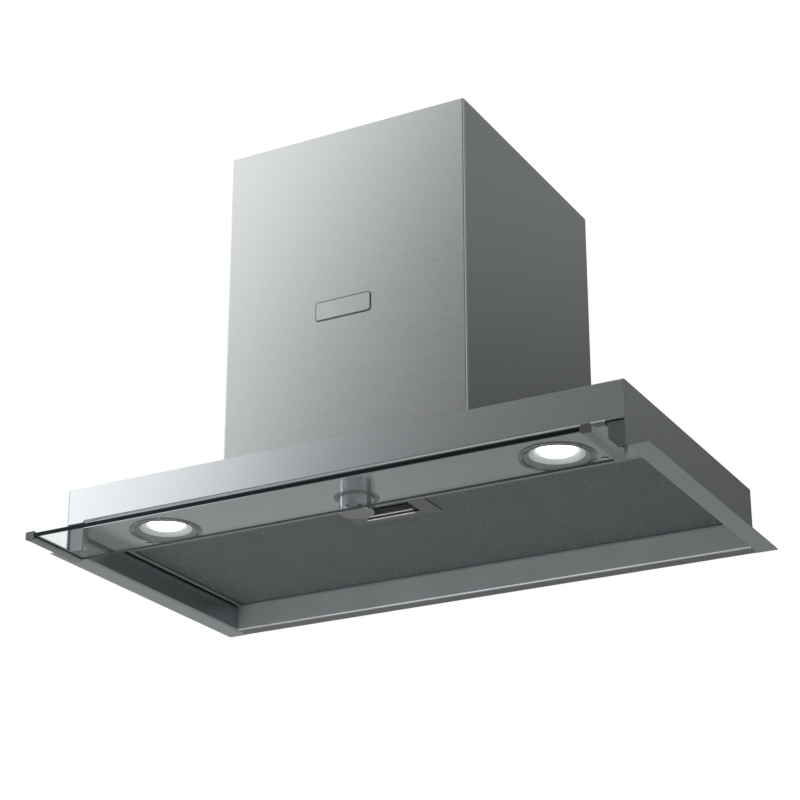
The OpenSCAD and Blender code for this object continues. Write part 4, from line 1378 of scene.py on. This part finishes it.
    def build(self) -> None:
        """Builds the filter and its latch and dresses the layers behind the mesh."""
        self.frame()
        self.beads()
        self.strands()
        self.latch_plate()
        self.latch()
        # The layers behind the mesh take the lightened lining: painted light.
        paint(["filter_core", "filter_back_mesh"], FILTER_LINING_LIT)


@dataclass
class Casing:
    """The blower casing: a front panel folded round its two edges, side sheets, rear and top."""

    half_w: float = 125.0
    front: float = -128.0
    rear: float = 147.0
    height: float = 320.0
    sheet: float = 1.0
    bend: float = 0.8
    wrap: float = 3.0
    side_gap: float = 0.25
    foot_w: float = 12.0
    foot_front: float = 14.0
    foot_rear: float = 2.0
    seat_t: float = 0.7
    badge_r: float = 3.2
    badge_w: float = 58.0
    badge_h: float = 19.5
    badge_t: float = 1.2
    badge_z: float = 136.5

    def front_panel(self) -> None:
        """The front panel with both of its edges folded back."""
        bm = bmesh.new()
        mid = self.front + self.sheet / 2
        edge = self.half_w - self.sheet / 2
        back = self.front + self.wrap
        bent_sheet(bm, [(-edge, back), (-edge, mid), (edge, mid), (edge, back)], self.sheet, self.bend,
                   Axis.Z.spot, 0, self.height)
        add_piece(bm, "casing_front", CASING_FRONT, "housing", ["box_front"])

    def side_sheet(self, side: int) -> None:
        """One side sheet with its foot."""
        bm = bmesh.new()
        inner = self.half_w - self.sheet
        side_block(bm, side, (inner, self.half_w), (self.front + self.wrap + self.side_gap, self.rear),
                   (0, self.height))
        side_block(bm, side, (self.half_w - self.foot_w, inner),
                   (self.front + self.foot_front, self.rear - self.foot_rear), (0, self.sheet))
        # The side sheet takes the darker copy of the casing steel: painted shade.
        add_piece(bm, f"casing_side_{hand(side)}", CASING_SHADED, "housing",
                  [f"box_side_{hand(side)}"], 0.2)

    def badge(self) -> None:
        """The bare plate with a narrow raised rim, on its dark surround."""
        seat = bmesh.new()
        outer = rounded(self.badge_w, self.badge_h, self.badge_r)
        slab(seat, [(u, self.badge_z + v) for u, v in outer], Axis.Y, self.front - self.seat_t, self.front)
        add_piece(seat, "badge_seat", BADGE_SEAT, "housing", [], 0.25)
        bm = bmesh.new()
        face = self.front - self.badge_t
        loops = []
        for inset, y in ((2.0, self.front), (2.0, face + 0.3), (2.4, face), (3.4, face), (3.7, face + 0.25)):
            outline = rounded(self.badge_w - inset, self.badge_h - inset, self.badge_r - inset / 2)
            loops.append([bm.verts.new(Vector((u, y, self.badge_z + v)) * MM) for u, v in outline])
        loft(bm, loops)
        bm.faces.new(loops[0][::-1])
        bm.faces.new(loops[-1])
        add_piece(bm, "bare_plate", BADGE, "housing", ["badge_plate"])

    def build(self) -> None:
        """Builds the casing and dresses its rear and top."""
        self.front_panel()
        both(self.side_sheet)
        self.badge()
        # The rear and top take the darker copy of the casing steel: painted shade.
        paint(["box_rear", "box_top"], CASING_SHADED)


@dataclass
class Blower:
    """The blower inside the casing: scroll, wheel, motor and its bracket."""

    scroll: Sequence[str] = ("scroll_wrap", "scroll_side_left", "scroll_side_right", "outlet_flange",
                             "motor_bracket")
    wheel: str = "impeller"
    motor: str = "motor"

    def build(self) -> None:
        """Dresses the blower's CAD solids."""
        paint(self.scroll, GALVANISED)
        paint([self.wheel], BLACK)
        paint([self.motor], MOTOR)


@dataclass
class Outlet:
    """The duct collar with its flaps, screws and beads, and the cable gland beside it."""

    y: float = 45.6116
    base: float = 320.0
    height: float = 34.0
    radius: float = 74.5
    bead: float = 0.5
    bead_drops: Flat = (5.0, 12.0)
    screw_turns: Sequence[int] = (45, 135, 225, 315)
    screw_reach: float = 79.25
    flange: float = 1.5
    gland_x: float = 98.0
    gland_y: float = 120.0
    gland_h: float = 16.0
    gland_r: float = 10.0
    nut_r: float = 12.0
    nut_h: float = 5.0
    neck_r: float = 7.3
    bore_r: float = 4.0

    def beads(self) -> None:
        """Two soft rings round the collar that grip the duct."""
        bm = bmesh.new()
        for drop in self.bead_drops:
            up = self.height - drop
            profile = [(self.radius - 0.3, up - 1), (self.radius - 0.3, up + 1)]
            for step in range(7):
                angle = math.radians(90 - 30 * step)
                profile.append((self.radius + self.bead * math.cos(angle), up + 0.9 * math.sin(angle)))
            lathe(bm, profile, (0, self.y, self.base), 128)
        add_piece(bm, "collar_beads", RUBBER, "housing")

    def screws(self) -> None:
        """Four screws through the collar's flange."""
        bm = bmesh.new()
        for turn in self.screw_turns:
            angle = math.radians(turn)
            Screw().build(bm, (self.screw_reach * math.cos(angle),
                               self.y + self.screw_reach * math.sin(angle), self.base + self.flange), 1)
        add_piece(bm, "flange_screws", SCREW, "housing", ["collar_screws"])

    def gland(self) -> None:
        """The gland: a six-sided nut, a ribbed and domed clamping cap and a bored neck."""
        centre = (self.gland_x, self.gland_y, self.base)
        bm = bmesh.new()
        nut = [(self.nut_r - 0.6, 0), (self.nut_r, 0.5), (self.nut_r, self.nut_h - 0.5),
               (self.nut_r - 0.6, self.nut_h), (self.bore_r + 3, self.nut_h), (self.bore_r + 3, 0)]
        lathe(bm, nut, centre, 6)
        cap = [(self.gland_r, self.nut_h), (self.gland_r, self.gland_h - 3.5),
               (self.gland_r - 0.7, self.gland_h - 1.6), (self.gland_r - 2.4, self.gland_h - 0.3),
               (self.gland_r - 3.4, self.gland_h), (self.bore_r + 0.6, self.gland_h),
               (self.bore_r, self.gland_h - 0.6), (self.bore_r, self.nut_h)]
        lathe(bm, cap, centre, 120, 20, 0.5)
        neck = [(self.neck_r, -5), (self.neck_r, 1), (self.bore_r, 1), (self.bore_r, -5)]
        lathe(bm, neck, centre, 64)
        add_piece(bm, "ribbed_gland", BLACK, "housing", ["cable_gland"])

    def build(self) -> None:
        """Builds the beads, screws and gland and dresses the collar and flaps."""
        self.beads()
        self.screws()
        self.gland()
        paint(["duct_collar", "damper_flap_front", "damper_flap_rear"], BLACK)
        paint(["damper_axle"], SCREW)


@dataclass
class Card:
    """A board of light that only reflections see, in metres, even or brighter towards one side.

    Attributes:
        name: The board's name.
        centre: Its middle.
        normal: The way it faces.
        size: Its width and height.
        glow: Radiance before and after the change.
        lean: How much each metre up counts, against each metre across.
        change: Where the change starts and ends, in metres from the middle.
    """

    name: str
    centre: Spot
    normal: Spot
    size: Flat
    glow: Flat
    lean: Flat = (0.0, 1.0)
    change: Flat = (-0.5, 0.5)

    def build(self) -> None:
        """Makes the board and its light."""
        bench = NodeBench(self.name)
        place = bench.add("ShaderNodeTexCoord")
        along = bench.add("ShaderNodeVectorMath", operation="DOT_PRODUCT")
        along.inputs[1].default_value = (self.lean[0], self.lean[1], 0)
        bench.join(place.outputs["Object"], along, 0)
        change = bench.add("ShaderNodeMapRange", interpolation_type="SMOOTHSTEP")
        bench.fill(change, From_Min=self.change[0], From_Max=self.change[1],
                   To_Min=self.glow[0], To_Max=self.glow[1])
        bench.join(along.outputs["Value"], change, "Value")
        glow = bench.add("ShaderNodeEmission")
        bench.join(change.outputs["Result"], glow, "Strength")
        bench.join(glow.outputs["Emission"], bench.out, "Surface")
        bm = bmesh.new()
        w, h = self.size[0] / 2, self.size[1] / 2
        bm.faces.new([bm.verts.new(Vector(c)) for c in ((-w, -h, 0), (w, -h, 0), (w, h, 0), (-w, h, 0))])
        board = placed(bm, self.name, bench.material)
        board.matrix_world = Matrix.Translation(Vector(self.centre)) @ Vector(self.normal).to_track_quat(
            "Z", "Y").to_matrix().to_4x4()
        for ray in ("camera", "diffuse", "transmission", "volume_scatter", "shadow"):
            setattr(board, f"visible_{ray}", False)


@dataclass
class Studio:
    """A pale floor, a white surround, soft lamps, and the camera at the photograph's angle."""

    eye: Spot = (0.90168, -1.68529, -0.70629)
    gaze: Spot = (-0.43920148, 0.81165079, 0.38512992)
    lens: float = 98.1277
    floor: float = -1.6

    def camera(self) -> None:
        """The camera, level from side to side."""
        data = bpy.data.cameras.new("camera")
        data.lens = self.lens
        data.sensor_width = 36
        data.clip_end = 50
        camera = bpy.data.objects.new("camera", data)
        bpy.context.scene.collection.objects.link(camera)
        camera.location = self.eye
        camera.rotation_euler = Vector(self.gaze).to_track_quat("-Z", "Y").to_euler()
        bpy.context.scene.camera = camera

    def world(self) -> None:
        """White for the camera, reflections and glass; a soft grey for even light."""
        world = bpy.data.worlds.new("surround")
        world.use_nodes = True
        tree = world.node_tree
        tree.nodes.clear()
        out = tree.nodes.new("ShaderNodeOutputWorld")
        light = tree.nodes.new("ShaderNodeBackground")
        path = tree.nodes.new("ShaderNodeLightPath")
        seen, clear = [tree.nodes.new("ShaderNodeMath") for _ in range(2)]
        for node in (seen, clear):
            node.operation = "MAXIMUM"
        light.inputs["Color"].default_value = (1, 1, 1, 1)
        strength = tree.nodes.new("ShaderNodeMapRange")
        NodeBench.fill(strength, To_Min=0.55, To_Max=1.0)
        tree.links.new(path.outputs["Is Camera Ray"], seen.inputs[0])
        tree.links.new(path.outputs["Is Glossy Ray"], seen.inputs[1])
        tree.links.new(seen.outputs["Value"], clear.inputs[0])
        tree.links.new(path.outputs["Is Transmission Ray"], clear.inputs[1])
        tree.links.new(clear.outputs["Value"], strength.inputs["Value"])
        tree.links.new(strength.outputs["Result"], light.inputs["Strength"])
        tree.links.new(light.outputs["Background"], out.inputs["Surface"])
        bpy.context.scene.world = world

    def ground(self) -> None:
        """The pale floor, far below the hood."""
        bench = NodeBench("pale_floor")
        skin = bench.shader(Roughness=0.8)
        cloud = bench.noise((3.0,) * 3, 2.0)
        bench.dress(skin, bench.shade((0.86,) * 3, cloud, 0.01))
        bm = bmesh.new()
        bmesh.ops.create_circle(bm, cap_ends=True, radius=6.0, segments=96)
        floor = placed(bm, "floor", bench.material)
        floor.location.z = self.floor

    def lamp(self, name: str, centre: Spot, target: Spot, size: Flat, power: float) -> None:
        """A soft area lamp.

        Args:
            name: The lamp's name.
            centre: Its place in metres.
            target: Where it points.
            size: Its width and height.
            power: Its power in watts.
        """
        data = bpy.data.lights.new(name, "AREA")
        data.shape = "RECTANGLE"
        data.size, data.size_y = size
        data.energy = power
        lamp = bpy.data.objects.new(name, data)
        bpy.context.scene.collection.objects.link(lamp)
        lamp.visible_glossy = False
        lamp.location = centre
        lamp.rotation_euler = (Vector(target) - Vector(centre)).to_track_quat("-Z", "Y").to_euler()

    def build(self) -> None:
        """Sets the stage."""
        bpy.context.scene.view_settings.view_transform = "Standard"
        self.camera()
        self.world()
        self.ground()
        self.lamp("left_front_softbox", (-1.1, -1.3, 0.9), (0.0, 0.0, 0.1), (1.4, 1.6), 14.0)
        self.lamp("low_softbox", (-0.3, -0.6, -1.5), (0.0, 0.0, 0.0), (2.0, 2.0), 8.0)
        Card("front_board", (-0.5, -1.4, 0.8), (0, 1, 0), (3.6, 2.8), (0.19, 2.2), (0.9, 0.6),
             (0.06, 0.595)).build()
        Card("fascia_board", (-1.0, -1.3, 0.5), (0, 1, 0), (0.34, 0.34), (1.6, 1.6)).build()
        Card("low_front_board", (-0.5, -1.0, -0.95), (0.3, 0.6, 0.7), (0.95, 0.9), (0.3, 2.6), (1.0, 0.0),
             (-0.6, 0.08)).build()
        Card("low_right_board", (1.4, 0.65, -0.65), (-0.9, -0.3, 0.4), (1.2, 0.9), (0.12, 0.12)).build()
        Card("low_left_strip", (-1.5, -0.22, -0.66), (1, 0.1, 0.4), (0.34, 0.9), (3.6, 3.6)).build()
        Card("right_rear_board", (0.95, 1.65, 0.95), (-0.44, -0.81, -0.385), (2.6, 2.0), (0.14, 0.46),
             (0.0, 1.0), (-0.3, 0.35)).build()
        Card("low_rear_board", (-0.88, 1.62, -0.85), (0.44, -0.81, 0.385), (2.8, 1.4), (0.52, 0.4),
             (1.0, 0.0), (-0.25, 0.25)).build()
        Card("left_strip", (-1.7, -0.1, 0.65), (1, 0, -0.3), (0.9, 2.2), (2.5, 2.5)).build()
        Card("right_strip", (1.9, 0.65, 0.8), (-1, 0, -0.3), (1.5, 2.4), (0.3, 0.3)).build()


def main() -> None:
    """Builds the hood's assemblies in order, then the studio."""
    logging.basicConfig(level=logging.INFO, format="%(name)s: %(message)s")
    parts = [Canopy(), LampPanel(), Control(), Visor(), Filter(), Casing(), Blower(), Outlet(), Studio()]
    for part in parts:
        LOG.info("building %s", type(part).__name__)
        part.build()


if __name__ == "__main__":
    main()
